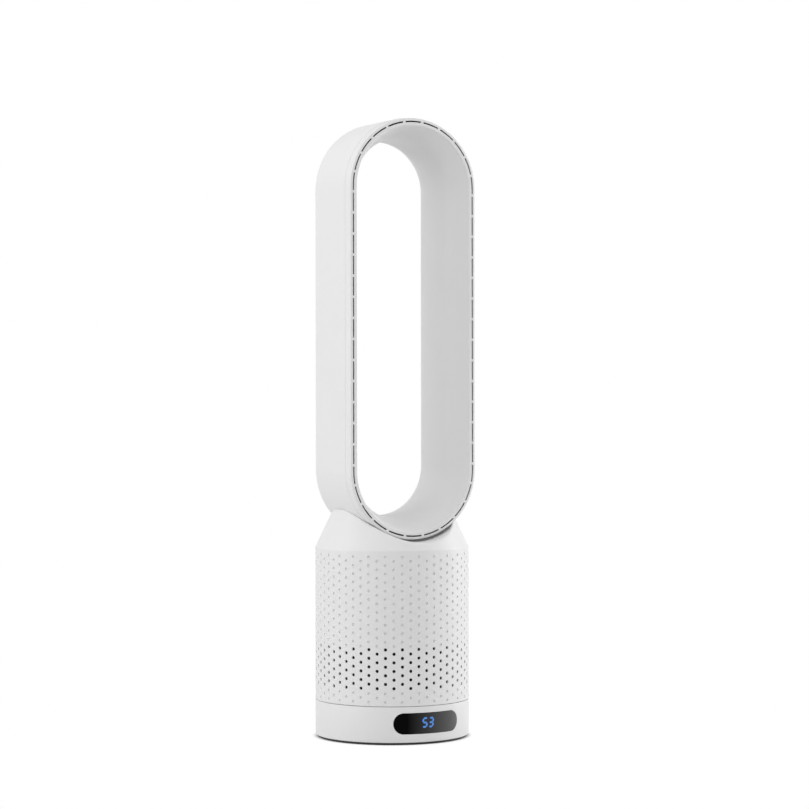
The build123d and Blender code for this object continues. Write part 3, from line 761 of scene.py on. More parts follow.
def soften(piece: bpy.types.Object, width: float, steps: int, angle: float) -> bpy.types.Object:
    """Rounds the crisp edges of a piece.

    Args:
        piece: the piece.
        width: of the rounding.
        steps: flats across it.
        angle: edges that turn by more than this many degrees are rounded.

    Returns:
        The same piece.
    """
    bevel = piece.modifiers.new("edge", "BEVEL")
    bevel.width = width
    bevel.segments = steps
    bevel.limit_method = "ANGLE"
    bevel.angle_limit = radians(angle)
    return settle(piece)


def dress(piece: bpy.types.Object, body: str, slot: Slot, finishes: Finishes,
          *nodes: str) -> bpy.types.Object:
    """Gives a new piece its finish, its body and the CAD nodes that it stands for.

    Args:
        piece: the piece.
        body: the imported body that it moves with.
        slot: its material slot.
        finishes: the materials.
        nodes: the CAD nodes that it replaces.

    Returns:
        The same piece.
    """
    piece.data.materials.clear()
    piece.data.materials.append(finishes.get(slot))
    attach(piece, body)
    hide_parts(*nodes)
    stands_for = ", ".join(nodes) or "no CAD node"
    log.info("%s: %d faces, stands for %s", piece.name, len(piece.data.polygons), stands_for)
    return piece


def turned_piece(name: str, corners: Path, radii: Sequence[float], sides: int) -> bpy.types.Object:
    """A closed ring or disc, turned about the fan axis from a rounded (radius, height) section.

    Args:
        name: of the piece.
        corners: the section's corners in order.
        radii: a radius for each corner.
        sides: flats all round.

    Returns:
        The piece.
    """
    skin = Skin(name)
    path = rounded(corners, radii, CORNER_FLATS).reshape(-1, 2)
    skin.grid(lathe(np.vstack([path, path[:1]]), sides), around=True)
    return skin.build()


@dataclass(frozen=True)
class Form:
    """The sizes that neighbouring sub-assemblies share."""

    radius: float = 0.100              # of the casing and of the control band
    wall: float = 0.0022
    crease: float = 0.2464             # height of the edge between the casing and the shoulder
    crease_rounding: float = 0.005
    crease_flats: int = 8
    slope: float = 25.6                # of the shoulder, in degrees from the vertical
    lower_centre: float = 0.3477       # height of the centre of the loop's lower round
    bezel_back: float = -0.0512        # the y at which the loop's bezel ends
    airway_radius: float = 0.0316      # of the hole through which the air enters the loop
    airway_span: Pair = (0.24, 0.275)  # heights between which that hole is cut
    airway_sides: int = 64

    @property
    def taper(self) -> float:
        """How much the shoulder's radius falls for each metre of height: the slope's tangent."""
        return tan(radians(self.slope))

    def crease_arc(self) -> np.ndarray:
        """The rounding between the casing and the shoulder.

        Returns:
            Its (radius, height) points from below, crease_flats + 1 × 2.
        """
        side = 2 * self.crease_rounding
        corners = [(self.radius, self.crease - side), (self.radius, self.crease),
                   (self.radius - self.taper * side, self.crease + side)]
        return rounded(corners, [0, self.crease_rounding, 0], self.crease_flats)[1]

    def airway(self) -> bpy.types.Object:
        """A cutter for the hole through which the air enters the loop.

        Returns:
            The closed piece.
        """
        low, high = self.airway_span
        corners = [(0, low), (self.airway_radius, low), (self.airway_radius, high), (0, high)]
        return turned_piece("airway", corners, [0, 0, 0, 0], self.airway_sides)


FORM = Form()


# ---------------------------------------------------------------- air loop
class Corner(IntEnum):
    """The corners of the loop's section, in order round its wall."""

    BEZEL_BACK = 0
    BEZEL_FRONT = 1
    SLOT_OUTER = 2
    SLOT_INNER = 3
    RIM = 4
    THROAT = 5
    CURL = 6
    WAIST = 7
    LIP = 8
    BACK = 9
    BEZEL_SEAT = 10


@dataclass
class AirLoop:
    """The stadium-shaped air loop: outlet ring, inner shell and outer shell."""

    finishes: Finishes
    radius: float = 0.0902
    upper_centre: float = 0.7098
    front: float = -0.0652
    rear: float = 0.0515
    bezel_radius: float = 0.0899
    bezel_front: float = 0.0892
    rim_radius: float = 0.08005
    throat: Pair = (0.0724, -0.0427)
    curl: Pair = (0.0652, -0.0262)     # where the curve behind the throat turns
    waist: Pair = (0.0642, 0.036)
    lip: float = 0.0656
    rear_lift: float = 0.0024          # how much higher the rear of the inner wall stands
    front_rounding: float = 0.0026
    rim_rounding: float = 0.0012
    throat_rounding: float = 0.003
    curl_rounding: float = 0.075
    waist_rounding: float = 0.060
    lip_rounding: float = 0.008
    back_rounding: float = 0.013
    slot_track: float = 0.0848         # from the loop's centre line to the middle of the slots
    slot_width: float = 0.0019
    slot_bridge: float = 0.0033        # left between two slots
    side_slots: int = 13
    end_slots: int = 11
    side_margin: float = 0.0074        # of a straight side, at each end, that the end slots take
    slot_steps: int = 6
    arc_steps: int = 8
    seam_flats: int = 2                # of the waist's arc, that belong to the outer shell

    def at(self, corner: Corner, flats: int) -> int:
        """The number of the section point that lies some flats into a corner's arc."""
        return corner * (self.arc_steps + 1) + flats

    def stations(self) -> tuple[np.ndarray, np.ndarray, np.ndarray]:
        """Places round the stadium, with one at each end of each slot.

        A length p along the slot track runs down the right side, round the bottom, up the left and
        over the top. The straight lengths already passed move the arc's centre, and the rest of p
        divided by the track's radius is the turn.

        Returns:
            The turn and the arc centre's height of each place, and whether a slot follows it.
        """
        quarter = pi * self.slot_track / 2
        straight = self.upper_centre - FORM.lower_centre
        end_pitch = (2 * quarter + 2 * self.side_margin) / self.end_slots
        side_pitch = (straight - 2 * self.side_margin) / self.side_slots
        half_round = np.repeat([side_pitch, end_pitch], [self.side_slots, self.end_slots])
        pitch = np.tile(half_round, 2)
        start = end_pitch * self.end_slots / 2 + np.cumsum(pitch) - pitch
        share = np.linspace(0, 1, self.slot_steps + 1)
        path = start[:, None] + self.slot_bridge / 2 + (pitch[:, None] - self.slot_bridge) * share
        path = path.reshape(-1) % (4 * quarter + 2 * straight)
        down = np.clip(path - quarter, 0, straight)
        up = np.clip(path - 3 * quarter - straight, 0, straight)
        follows = np.tile(np.arange(self.slot_steps + 1) < self.slot_steps, len(pitch))
        return (path - down - up) / self.slot_track, self.upper_centre - down + up, follows

    def carry(self, path: np.ndarray) -> np.ndarray:
        """Carries a section path round: x = r·sin t, z = centre + r·cos t + lift, y unchanged.

        The lift grows from nothing at the throat to its full height at the waist, and falls to
        nothing again from the lip out to the outer wall.

        Args:
            path: (distance from the centre line, y) points.

        Returns:
            The points, path points × stations × 3.
        """
        turn, centre, _ = self.stations()
        reach, depth = path[:, :1], path[:, 1:]
        behind = smooth((depth - self.throat[1]) / (self.waist[1] - self.throat[1]))
        inside = smooth((self.radius - reach) / (self.radius - self.lip))
        height = centre + self.rear_lift * behind * inside
        return np.stack([reach * np.sin(turn), depth + 0 * turn, height + reach * np.cos(turn)], -1)

    def sections(self) -> tuple[np.ndarray, np.ndarray]:
        """Draws the section of the wall from its sizes, a corner for each member of Corner.

        Returns:
            The wall's outside and its inside, as paths with the same number of points.
        """
        slot_outer = self.slot_track + self.slot_width / 2
        slot_inner = self.slot_track - self.slot_width / 2
        corners = [(self.bezel_radius, FORM.bezel_back), (self.bezel_front, self.front),
                   (slot_outer, self.front), (slot_inner, self.front), (self.rim_radius, self.front),
                   self.throat, self.curl, self.waist, (self.lip, self.rear),
                   (self.radius, self.rear), (self.radius, FORM.bezel_back)]
        radii = [0, self.front_rounding, 0, 0, self.rim_rounding, self.throat_rounding,
                 self.curl_rounding, self.waist_rounding, self.lip_rounding, self.back_rounding, 0]
        hidden = inset(corners, radii, FORM.wall)
        return (rounded(corners, radii, self.arc_steps).reshape(-1, 2),
                rounded(*hidden, self.arc_steps).reshape(-1, 2))

    def shell(self, name: str, first: int, last: int, slots: bool = False) -> bpy.types.Object:
        """One piece of the loop: its outside, its inside, and flat walls at its two joints.

        Args:
            name: of the piece.
            first: the section point where it starts.
            last: the section point where it ends.
            slots: whether the row of outlet slots goes through it.

        Returns:
            The piece.
        """
        outside, inside = self.sections()
        follows = self.stations()[2]
        near = self.at(Corner.SLOT_OUTER, self.arc_steps) - first
        far = self.at(Corner.SLOT_INNER, 0) - first
        keep = np.ones((last - first, len(follows)), bool)
        if slots:
            keep[near] = ~follows
        skin = Skin(name)
        outer = skin.grid(self.carry(outside[first:last + 1]), keep, around=True)
        inner = skin.grid(self.carry(inside[first:last + 1]), keep, around=True)
        closed = np.r_[:outer.shape[1], 0]
        for row in (0, -1):
            skin.bridge(outer[row, closed], inner[row, closed])
        if slots:
            self.line_slots(skin, outer[[near, far]], inner[[near, far]])
        return skin.build()

    def line_slots(self, skin: Skin, outer: np.ndarray, inner: np.ndarray) -> None:
        """Adds walls through the ring round each slot.

        Args:
            skin: the ring under construction.
            outer: the numbers of the points on the slots' two long edges in front, 2 × stations.
            inner: the same at the back.
        """
        shape = (2, 2 * (self.side_slots + self.end_slots), self.slot_steps + 1)
        outer, inner = outer.reshape(shape), inner.reshape(shape)
        skin.bridge(outer, inner)
        fronts, backs = (np.moveaxis(edges[..., [0, -1]], 0, -1) for edges in (outer, inner))
        skin.bridge(fronts.reshape(-1, 2), backs.reshape(-1, 2))

    def build(self) -> None:
        """Builds and dresses the three pieces, which meet in the throat and at the waist."""
        start = self.at(Corner.BEZEL_BACK, 0)
        throat = self.at(Corner.THROAT, self.arc_steps // 2)
        seam = self.at(Corner.WAIST, self.arc_steps - self.seam_flats)
        end = self.at(Corner.BEZEL_SEAT, self.arc_steps)
        ring = self.shell("outlet_ring_skin", start, throat, slots=True)
        inner = self.shell("loop_inner_skin", throat, seam)
        outer = carve(self.shell("loop_outer_skin", seam, end), FORM.airway())
        dress(ring, "head", Slot.loop_plastic, self.finishes, "outlet_ring")
        dress(inner, "head", Slot.loop_plastic, self.finishes, "loop_inner_shell")
        dress(outer, "head", Slot.loop_plastic, self.finishes, "loop_outer_shell")


# ---------------------------------------------------------------- shoulder and casing
@dataclass
class Shoulder:
    """The tapered cover over the casing, cut by the loop into a saddle."""

    finishes: Finishes
    saddle_radius: float = 0.0904
    front_gap: float = 0.0014          # how much lower the saddle lies at the front and the rear
    front_turn: Pair = (0.0, 66.0)     # azimuths from there, over which that gap closes
    groove: float = 0.0016             # depth of the dark groove under the bezel
    groove_front: float = -0.0700
    reach: float = 0.0030              # over which the groove and the gap start and end
    rim_rounding: float = 0.0030
    rim_share: float = 0.25            # of the rim's distance in y, which its rounding takes at most
    tip: float = 0.2962                # height of the horns
    half_points: int = 181             # of the rim, in each half turn
    cone_rows: int = 8
    rim_rows: int = 6
    saddle_rows: tuple[tuple[float, float, int], ...] = (   # shares of the saddle's length
        (0, 0.09, 5), (0.11, 0.27, 17), (0.32, 0.9, 8), (0.93, 1, 4))

    def gap(self, azimuth: np.ndarray) -> np.ndarray:
        """How far the rim keeps off the saddle radius: the front gap, or nothing at the sides.

        Args:
            azimuth: in radians.

        Returns:
            The gaps.
        """
        away = np.degrees(np.arcsin(np.abs(np.sin(azimuth))))
        start, end = self.front_turn
        return self.front_gap * (1 - smooth((away - start) / (end - start)))

    def rim(self, azimuth: np.ndarray) -> np.ndarray:
        """The height at which the taper meets the saddle.

        With w the height over the loop's lower centre, r0 the taper's radius at that centre, k its
        slope and s the sine of the azimuth, ((r0 - k·w)·s)² + w² is the saddle radius squared. The
        lower root for w is used, and the horns stop at the tip's height.

        Args:
            azimuth: in radians.

        Returns:
            The heights.
        """
        square = np.sin(azimuth) ** 2
        saddle = self.saddle_radius + self.gap(azimuth)
        base = FORM.radius - FORM.taper * (FORM.lower_centre - FORM.crease)
        half = base * FORM.taper * square
        whole = 1 + FORM.taper ** 2 * square
        under = half ** 2 - whole * (base ** 2 * square - saddle ** 2)
        drop = (half - np.sqrt(np.maximum(under, 0))) / whole
        return np.minimum(FORM.lower_centre + drop, self.tip)

    def cone(self, azimuth: np.ndarray, top: np.ndarray) -> np.ndarray:
        """The taper, with the upper half of the crease's rounding below it.

        The radius falls by the taper for each metre over the crease.

        Args:
            azimuth: in radians.
            top: the height where the taper ends at each azimuth.

        Returns:
            The points, rows × azimuths × 3.
        """
        arc = FORM.crease_arc()[FORM.crease_flats // 2:]
        start = arc[-1, 1]
        rise = start + (top - start) * np.linspace(0, 1, self.cone_rows + 1)[1:, None]
        lower = about(arc[:, :1], azimuth, arc[:, 1:])
        return np.concatenate([lower, about(FORM.radius - FORM.taper * (rise - FORM.crease), azimuth, rise)])

    def saddle(self, edge: np.ndarray, start: np.ndarray, gap: np.ndarray) -> np.ndarray:
        """The surface the loop rests in: the front rim carried straight back to the rear rim.

        Between the bezel's back and the same distance behind the axis it rises by the gap, and
        under the bezel it has a groove. Both move a point to or from the loop's lower centre line.

        Args:
            edge: the front rim's points.
            start: how far from both rims the surface starts.
            gap: the extra distance from the centre line that the rim points have.

        Returns:
            The points, rows × rim points × 3.
        """
        share = np.concatenate([np.linspace(*rows) for rows in self.saddle_rows])[:, None]
        y = edge[:, 1] + start + (-2 * edge[:, 1] - 2 * start) * share
        enters = smooth((y - self.groove_front) / self.reach)
        leaves = smooth((FORM.bezel_back - y) / self.reach)
        close = smooth((-FORM.bezel_back - np.abs(y)) / self.reach)
        depth = self.groove * enters * leaves - gap * close
        side, drop = edge[:, 0], edge[:, 2] - FORM.lower_centre
        grow = 1 + depth / np.hypot(side, drop)
        return np.stack([side * grow, y, FORM.lower_centre + drop * grow], -1)

    def build(self) -> None:
        """Builds the taper, the rounded rim and the saddle as one skin, and gives it a wall.

        The rim's rounding is the curve (1 - s)²·a + 2·s·(1 - s)·rim + s²·b between a point a on the
        taper and a point b on the saddle. Along the slope a lies as far from the rim as b does, for
        which the slope's cosine is taken as 1 - slope²/2.
        """
        front = np.linspace(-pi / 2, pi / 2, self.half_points)
        azimuth = np.concatenate([front, front[1:-1] + pi])
        height = self.rim(azimuth)
        rim = about(FORM.radius - FORM.taper * (height - FORM.crease), azimuth, height)
        reach = np.minimum(self.rim_rounding, self.rim_share * np.abs(rim[:, 1]))
        lower = self.cone(azimuth, height - reach * (1 - radians(FORM.slope) ** 2 / 2))
        back = rim + np.stack([0 * reach, -np.sign(rim[:, 1]) * reach, 0 * reach], -1)
        share = np.linspace(0, 1, self.rim_rows + 1)[1:, None, None]
        blend = (1 - share) ** 2 * lower[-1] + 2 * share * (1 - share) * rim + share ** 2 * back
        skin = Skin("shoulder_skin")
        skin.grid(np.concatenate([lower, blend]), around=True)
        half = len(front)
        skin.grid(self.saddle(rim[:half], reach[:half], self.gap(front)))
        cover = carve(thicken(skin.build(), FORM.wall), FORM.airway())
        dress(cover, "head", Slot.casing_plastic, self.finishes, "shoulder_cover")


@dataclass
class Casing:
    """The perforated wall: staggered columns of holes, through in ten rows and blind elsewhere."""

    finishes: Finishes
    bore: float = 0.0978               # radius of the inside
    foam: Pair = (0.0690, 0.1270)      # heights of a dark sleeve behind the holes, painted shade for the dark inside of the casing
    foam_radius: float = 0.0950
    foam_wall: float = 0.0015
    foam_sides: int = 240
    bottom: float = 0.0491
    edge_roundings: Pair = (0.0002, 0.0004)    # of the lower edge, inside and outside
    margin: float = 0.0012             # between the crease and the last cells
    columns: int = 58
    turn: float = 0.5                  # of the first column, in degrees
    pitch: float = 0.005476            # of the rows
    top_hole: float = 0.1211           # height of row 0
    through_rows: int = 10             # from row 0 down
    rows: tuple[int, int] = (-22, 12)  # the top one and the bottom one
    side_points: int = 4               # on each side of a cell
    edge_flats: int = 3
    hole: float = 0.0021               # radius
    chamfer: float = 0.00025
    dimple: float = 0.0018             # radius
    dimple_depth: float = 0.0017
    dimple_floor: float = 0.8          # of the dimple's radius
    dimple_drop: float = 0.0012        # how much lower than their cells the dimples stand
    dimple_pitch: float = 0.000085     # how much closer their rows above the holes are

    @property
    def top(self) -> float:
        """The height at which the last cells end."""
        return FORM.crease - self.margin

    def row_height(self, row: Union[int, np.ndarray]) -> Lengths:
        """The height of a row's middle: one pitch less for each row."""
        return self.top_hole - row * self.pitch

    def cells(self) -> tuple[np.ndarray, np.ndarray, np.ndarray, np.ndarray]:
        """Sets out the cells: each column uses every second row, and its neighbours the others.

        Returns:
            Each cell's angle and height, how far its dimple is lowered, and whether it's a hole.
        """
        column = np.arange(self.columns)
        row = np.arange(self.rows[0], self.rows[1] + 1)
        grid_column, grid_row = np.meshgrid(column, row, indexing="ij")
        used = (grid_column + grid_row) % 2 == 1
        along = grid_column[used] * 2 * pi / self.columns
        number = grid_row[used]
        drop = self.dimple_drop + self.dimple_pitch * np.maximum(-number, 0)
        return along, self.row_height(number), drop, (number >= 0) & (number < self.through_rows)

    def borders(self) -> tuple[np.ndarray, np.ndarray]:
        """Points round a cell and round a hole, as seen from the middle.

        A cell is one column wide and two rows high. Its points share out its sides evenly, and
        those of the hole lie in the same directions, on a circle.

        Returns:
            The cell's (angle, height) points, and the hole's for a radius of one metre.
        """
        step = np.linspace(-1, 1, self.side_points + 1)[:-1]
        one = np.ones(self.side_points)
        across = np.concatenate([step, one, -step, -one])
        up = np.concatenate([-one, step, one, -step])
        half_width = pi / self.columns
        angle = np.arctan2(up * self.pitch, across * half_width * FORM.radius)
        return (np.stack([across * half_width, up * self.pitch], -1),
                np.stack([np.cos(angle) / FORM.radius, np.sin(angle)], -1))

    def ring(self, along: np.ndarray, height: np.ndarray, border: np.ndarray, radius: float) -> np.ndarray:
        """Puts a border round every cell, on a cylinder.

        Args:
            along: the cells' angles.
            height: the cells' heights.
            border: (angle, height) points round one cell.
            radius: of the cylinder.

        Returns:
            The points, cells × border points + 1 × 3, with the last one on the first.
        """
        border = border[np.r_[:len(border), 0]]
        angle = along[:, None] + border[:, 0] + radians(self.turn)
        return about(radius, angle, np.minimum(height[:, None] + border[:, 1], self.top))

    def perforate(self, skin: Skin) -> None:
        """Adds the cells' faces: through holes with chamfers, and dimples with a plain back.

        Each kind of cell is a row of rings from outside in. A ring has its border, its radius, and
        1 where it is lowered with its dimple.

        Args:
            skin: the casing under construction.
        """
        along, height, drop, through = self.cells()
        cell, circle = self.borders()
        surface, chamfered = FORM.radius, FORM.radius - self.chamfer
        floor, middle = FORM.radius - self.dimple_depth, circle * 0
        holes = [(cell, surface, 0), (circle * (self.hole + self.chamfer), surface, 0),
                 (circle * self.hole, chamfered, 0), (circle * self.hole, self.bore, 0),
                 (cell, self.bore, 0)]
        dimples = [(cell, surface, 0), (circle * (self.dimple + self.chamfer), surface, 1),
                   (circle * self.dimple, chamfered, 1),
                   (circle * self.dimple * self.dimple_floor, floor, 1), (middle, floor, 1)]
        backs = [(cell, self.bore, 0), (middle, self.bore, 0)]
        for chosen, rings in ((through, holes), (~through, dimples), (~through, backs)):
            skin.blocks(np.stack([
                self.ring(along[chosen], height[chosen] - lowered * drop[chosen], border, radius)
                for border, radius, lowered in rings], 1))

    def fill(self, skin: Skin) -> None:
        """Adds plain wall in the columns that end one row early at the top and at the bottom.

        Args:
            skin: the casing under construction.
        """
        column = np.arange(0, self.columns, 2) * 2 * pi / self.columns
        span = np.linspace(-1, 1, self.side_points + 1) * pi / self.columns
        angle = (column[:, None] + span + radians(self.turn))[:, None, :]
        low, high = self.row_height(self.rows[1] + 1), self.row_height(self.rows[0])
        half = self.pitch / 2
        strips = np.array([(low, low + half, low + self.pitch), (high, high + half, self.top)])
        for radius in (FORM.radius, self.bore):
            for strip in strips:
                skin.blocks(about(radius, angle, strip[:, None]))

    def close(self, skin: Skin) -> None:
        """Adds the plain margins at both ends, with the lower half of the crease's rounding.

        Args:
            skin: the casing under construction.
        """
        low = self.row_height(self.rows[1] + 1)
        crease = FORM.crease_arc()[:FORM.crease_flats // 2 + 1]
        upper = np.vstack([[(FORM.radius, self.top)], crease, [(self.bore, crease[-1, 1])],
                           [(self.bore, self.top)]])
        corners = [(self.bore, low), (self.bore, self.bottom), (FORM.radius, self.bottom),
                   (FORM.radius, low)]
        lower = rounded(corners, [0, *self.edge_roundings, 0], self.edge_flats).reshape(-1, 2)
        start = radians(self.turn) - pi / self.columns
        for profile in (upper, lower):
            skin.grid(lathe(profile, self.columns * self.side_points, start), around=True)

    def build(self) -> None:
        """Builds and dresses the casing, and behind its holes a dark sleeve of painted shade, which stands
        for no CAD node.
        """
        skin = Skin("casing_skin")
        for add in (self.perforate, self.fill, self.close):
            add(skin)
        dress(skin.build(), "head", Slot.casing_plastic, self.finishes, "intake_grille")
        # a dark sleeve behind the holes: painted shade, so that the holes look dark
        low, high = self.foam
        inner = self.foam_radius - self.foam_wall
        corners = [(inner, low), (self.foam_radius, low), (self.foam_radius, high), (inner, high)]
        sleeve = turned_piece("painted_shade_sleeve", corners, [0, 0, 0, 0], self.foam_sides)
        dress(sleeve, "head", Slot.rubber, self.finishes)


# ---------------------------------------------------------------- base
@dataclass
class Band:
    """The static control band with its display window, digits and rubber foot."""

    finishes: Finishes
    bottom: float = 0.0029
    top: float = 0.0485
    sides: int = 360
    edge_roundings: Pair = (0.0012, 0.0005)    # of the lower and the upper edge
    inner_chamfer: float = 0.001       # of the lower edge, inside
    flange: float = 0.0858             # radius of the hole in the top
    pill_length: float = 0.097         # of the display window
    pill_height: float = 0.027
    pill_centre: float = 0.0271
    pill_points: tuple[int, int] = (33, 41)    # up and across
    lens_thickness: float = 0.0016
    lens_gap: float = 0.0001
    lens_edge: float = 0.0003
    foot_radius: float = 0.0965
    foot_sides: int = 240
    foot_roundings: Pair = (0.0006, 0.0003)    # of the lower and the upper edge
    gland_height: float = 0.016
    gland_radius: float = 0.0066
    overcut: float = 0.004             # how far a cutter stands out of the band
    notch_depth: float = 0.006
    notch_points: int = 25             # round its top
    digit_height: float = 0.0133
    digit_width: float = 0.0078
    digit_gap: float = 0.0010
    digit_sink: float = 0.00005        # of the digits' faces under the band's surface
    stroke: float = 0.0023
    bar_gap: float = 0.08              # of the stroke, at each end of a bar
    lean: float = 0.12
    number: str = "53"
    number_offset: float = -0.0023
    number_rise: float = 0.0008

    def pill(self, name: str, grow: float, inner: float, outer: float) -> bpy.types.Object:
        """A round-ended window shape in the band, between two radii.

        The row at the height h·sin t is 2·(straight + h·cos t) wide, for t from -90 to 90 degrees,
        so a plain grid fills the whole window.

        Args:
            name: of the piece.
            grow: added to the window's outline all round.
            inner: the radius of its back.
            outer: the radius of its front.

        Returns:
            The closed piece.
        """
        half = self.pill_height / 2 + grow
        straight = (self.pill_length - self.pill_height) / 2
        rise = np.linspace(-pi / 2, pi / 2, self.pill_points[0])[:, None]
        along = np.linspace(-1, 1, self.pill_points[1]) * (straight + half * np.cos(rise))
        height = self.pill_centre + half * np.sin(rise)
        skin = Skin(name)
        skin.slab(*(wrapped(along, height, radius, BASE_TURN) for radius in (outer, inner)))
        return skin.build()

    def notch(self) -> bpy.types.Object:
        """A cutter for the cord gland's rear notch: a round top on straight sides down to the floor.

        Returns:
            The closed piece.
        """
        turn = np.linspace(0, pi, self.notch_points)
        radius = self.gland_radius
        along = np.concatenate([[radius], radius * np.cos(turn), [-radius]])
        height = np.concatenate([[0.0], self.gland_height + radius * np.sin(turn), [0.0]])
        rows = height * np.array([[0.0], [1.0]])
        depths = (FORM.radius - self.notch_depth, FORM.radius + self.overcut)
        skin = Skin("notch")
        skin.slab(*(wrapped(along, rows, depth, 180 + BASE_TURN) for depth in depths))
        return skin.build()

    def segments(self) -> bpy.types.Object:
        """The lit digits as seven-bar shapes, leaning a little, on the lens.

        Each bar is a hexagon between two of a digit's six joints. A point's length along the band
        grows with its height times the lean.

        Returns:
            The piece.
        """
        joints = np.array([(0, 1), (1, 1), (1, 0.5), (1, 0), (0, 0), (0, 0.5)])
        bars = {"a": (0, 1), "b": (1, 2), "c": (2, 3), "d": (3, 4), "e": (4, 5), "f": (5, 0), "g": (5, 2)}
        shapes = {"5": "afgcd", "3": "abgcd"}
        size = np.array([self.digit_width - self.stroke, self.digit_height - self.stroke])
        pitch = self.digit_width + self.digit_gap
        skin = Skin("display_digits")
        for place, digit in enumerate(self.number):
            across = (place - (len(self.number) - 1) / 2) * pitch + self.number_offset
            ends = (joints[[bars[bar] for bar in shapes[digit]]] - 0.5) * size
            way = ends[:, 1] - ends[:, 0]
            way /= np.linalg.norm(way, axis=1)[:, None]
            side, cut = left(way) * self.stroke / 2, way * self.stroke / 2
            gap = way * self.stroke * self.bar_gap
            first, last = ends[:, 0] + gap, ends[:, 1] - gap
            low = np.stack([first, first + cut - side, last - cut - side, last], 1)
            high = np.stack([first, first + cut + side, last - cut + side, last], 1)
            flat = np.stack([low, high], 1) + (across, self.number_rise)
            skin.blocks(wrapped(flat[..., 0] + flat[..., 1] * self.lean, self.pill_centre + flat[..., 1],
                                FORM.radius - self.digit_sink, BASE_TURN))
        return skin.build()

    def build(self) -> None:
        """Builds and dresses the band, the lens, the digits and the foot."""
        inside, under = FORM.radius - FORM.wall, self.top - FORM.wall
        corners = [(inside, self.bottom), (FORM.radius, self.bottom), (FORM.radius, self.top),
                   (self.flange, self.top), (self.flange, under), (inside, under),
                   (inside, self.bottom + self.inner_chamfer)]
        band = turned_piece("band_skin", corners, [0, *self.edge_roundings, 0, 0, 0, 0], self.sides)
        back = FORM.radius - self.lens_thickness
        recess = self.pill("recess", 0.0, back - self.lens_gap, FORM.radius + self.overcut)
        carve(band, recess, self.notch())
        lens = self.pill("lens_skin", -self.lens_gap, back, FORM.radius - self.lens_gap)
        soften(lens, self.lens_edge, steps=2, angle=50.0)
        corners = [(0, 0), (self.foot_radius, 0), (self.foot_radius, self.bottom), (0, self.bottom)]
        foot = turned_piece("foot_skin", corners, [0, *self.foot_roundings, 0], self.foot_sides)
        dress(band, "base", Slot.casing_plastic, self.finishes, "base_shell")
        dress(lens, "base", Slot.lens_plastic, self.finishes, "display_lens")
        dress(self.segments(), "base", Slot.digits, self.finishes)
        dress(foot, "base", Slot.rubber, self.finishes, "foot_pad")


# ---------------------------------------------------------------- what stays as CAD made it
@dataclass
class Works:
    """The drive, the fan unit, the boards and the fasteners, which keep their CAD meshes."""

    frame: dict
    finishes: Finishes

    def build(self) -> None:
        """Gives each CAD node that is still shown the finish of its slot."""
        for part in self.frame["record"]["subparts"]:
            node = self.frame["nodes"][part["node"]]
            if node.hide_render:
                continue
            node.data.materials.clear()
            node.data.materials.append(self.finishes.get(Slot[part["material_slot"]]))
            log.info("%s keeps its CAD mesh, in %s", node.name, part["material_slot"])


# ---------------------------------------------------------------- studio
@dataclass(frozen=True)
class Lamp:
    """A soft box: its place, what it points at, its size and its power."""

    name: str
    place: Triple
    target: Triple
    size: Pair
    power: float

    def build(self) -> None:
        """Adds the lamp to the scene, turned to its target."""
        light = bpy.data.lights.new(self.name, "AREA")
        light.shape = "RECTANGLE"
        light.size, light.size_y = self.size
        light.energy = self.power
        lamp = bpy.data.objects.new(self.name, light)
        lamp.location = self.place
        way = Vector(self.target) - Vector(self.place)
        lamp.rotation_euler = way.to_track_quat("-Z", "Y").to_euler()
        bpy.context.scene.collection.objects.link(lamp)


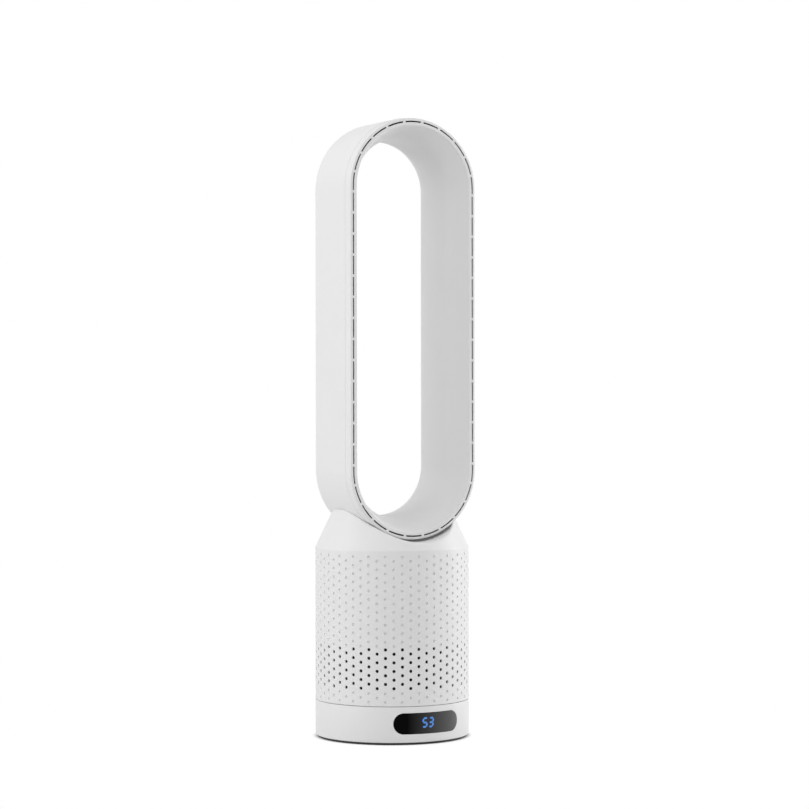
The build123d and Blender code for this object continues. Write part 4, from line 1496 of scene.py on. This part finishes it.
@dataclass
class Studio:
    """A pale floor, a white world, soft lamps and the photograph's camera."""

    place: Triple = (-1.4424, -2.9998, 0.4555)     # of the camera
    heading: float = 25.965            # degrees from +Y towards +X
    pitch: float = -0.414              # degrees over the horizon
    roll: float = -0.0774              # degrees
    lens: float = 113.476              # millimetres
    floor_size: float = 30.0
    floor_level: float = 0.70
    shadow: Pair = (0.0955, 0.1055)    # distances over which the floor turns from lit to plain white
    world_level: float = 0.55
    lamps: tuple[Lamp, ...] = (
        Lamp("left box", (-2.5, 0.8, 1.3), (0, 0, 0.4), (1.6, 2.4), 23.5),
        Lamp("left front box", (-2.6, -1.2, 1.2), (0, 0, 0.4), (1.2, 1.8), 12.9),
        Lamp("right box", (2.3, -0.25, 0.75), (0, 0, 0.35), (0.7, 1.4), 19.0),
        Lamp("right front box", (2.0, -1.6, 0.9), (0, 0, 0.4), (0.8, 1.4), 9.3),
        Lamp("front fill", (-0.4, -3.6, 2.2), (0, 0, 0.4), (2.4, 1.6), 6.4),
        Lamp("top box", (-0.3, -0.6, 2.6), (0, 0, 0.4), (1.8, 1.8), 6.3),
    )

    def camera(self) -> None:
        """Sets the camera at the photograph's angle."""
        data = bpy.data.cameras.new("camera")
        data.lens = self.lens
        camera = bpy.data.objects.new("camera", data)
        aim = Euler((radians(90 + self.pitch), 0, -radians(self.heading))).to_matrix()
        aim = aim @ Matrix.Rotation(radians(self.roll), 3, "Z")
        camera.matrix_world = Matrix.Translation(self.place) @ aim.to_4x4()
        bpy.context.scene.collection.objects.link(camera)
        bpy.context.scene.camera = camera

    @staticmethod
    def seen(paint: Paint) -> Wire:
        """Marks the rays that show the white background: 1 - (1 - camera)·(1 - mirror)·(1 - bent).

        Args:
            paint: the material or world.

        Returns:
            1 for rays from the camera, mirrored or bent, else 0.
        """
        path = paint.node("ShaderNodeLightPath")
        kinds = ("Is Camera Ray", "Is Glossy Ray", "Is Transmission Ray")
        camera, mirror, bent = (Wire(paint, path.outputs[kind]) for kind in kinds)
        return 1 - (1 - camera) * (1 - mirror) * (1 - bent)

    @staticmethod
    def switch(paint: Paint, share: Wire, lit: Any, white_kind: str, output_kind: str) -> None:
        """Mixes a lit shader with plain white, onto the output.

        Args:
            paint: the material or world.
            share: 0 for the lit shader, 1 for plain white.
            lit: the lit shader's node.
            white_kind: the type of the white shader's node.
            output_kind: the type of the output node.
        """
        white = paint.node(white_kind, None, {"Color": (1, 1, 1), "Strength": 1.0})
        mixed = paint.node("ShaderNodeMixShader", None, {0: share, 1: lit.outputs[0], 2: white.outputs[0]})
        paint.node(output_kind, None, {"Surface": mixed.outputs[0]})

    def world(self) -> None:
        """A white backdrop for seeing, and a dimmer even light for the object."""
        world = bpy.data.worlds.new("studio")
        bpy.context.scene.world = world
        world.use_nodes = True
        paint = Paint(world.node_tree)
        light = paint.node("ShaderNodeBackground", None, {"Color": (1, 1, 1), "Strength": self.world_level})
        self.switch(paint, self.seen(paint), light, "ShaderNodeBackground", "ShaderNodeOutputWorld")

    def floor(self) -> None:
        """A pale floor that keeps the fan's contact shadow and turns white away from it."""
        half = self.floor_size / 2
        mesh = bpy.data.meshes.new("floor")
        corners = [(-half, -half, 0), (half, -half, 0), (half, half, 0), (-half, half, 0)]
        mesh.from_pydata(corners, [], [(0, 1, 2, 3)])
        floor = bpy.data.objects.new("floor", mesh)
        bpy.context.scene.collection.objects.link(floor)
        material = bpy.data.materials.new("pale floor")
        material.use_nodes = True
        paint = Paint(material.node_tree)
        source = paint.node("ShaderNodeTexCoord").outputs["Object"]
        far = paint.wire("ShaderNodeVectorMath", {"operation": "LENGTH"}, {0: source}, "Value")
        away = paint.wire("ShaderNodeMapRange", {"interpolation_type": "SMOOTHSTEP"},
                          {"Value": far, "From Min": self.shadow[0], "From Max": self.shadow[1]})
        pale = paint.node("ShaderNodeBsdfDiffuse", None, {"Color": (self.floor_level,) * 3})
        self.switch(paint, self.seen(paint) * away, pale, "ShaderNodeEmission", "ShaderNodeOutputMaterial")
        mesh.materials.append(material)

    def build(self) -> None:
        """Builds the studio."""
        bpy.context.scene.view_settings.view_transform = "Standard"
        self.camera()
        self.world()
        self.floor()
        for lamp in self.lamps:
            lamp.build()


def main() -> None:
    """Builds the fan's pieces in order, then the studio, and logs each piece as it is done."""
    logging.basicConfig(level=logging.INFO, format="%(name)s: %(message)s")
    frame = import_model()
    finishes = Finishes()
    parts = (AirLoop(finishes), Shoulder(finishes), Casing(finishes), Band(finishes), Works(frame, finishes))
    for part in parts:
        part.build()
        log.info("%s done", type(part).__name__)
    Studio().build()


if __name__ == "__main__":
    main()
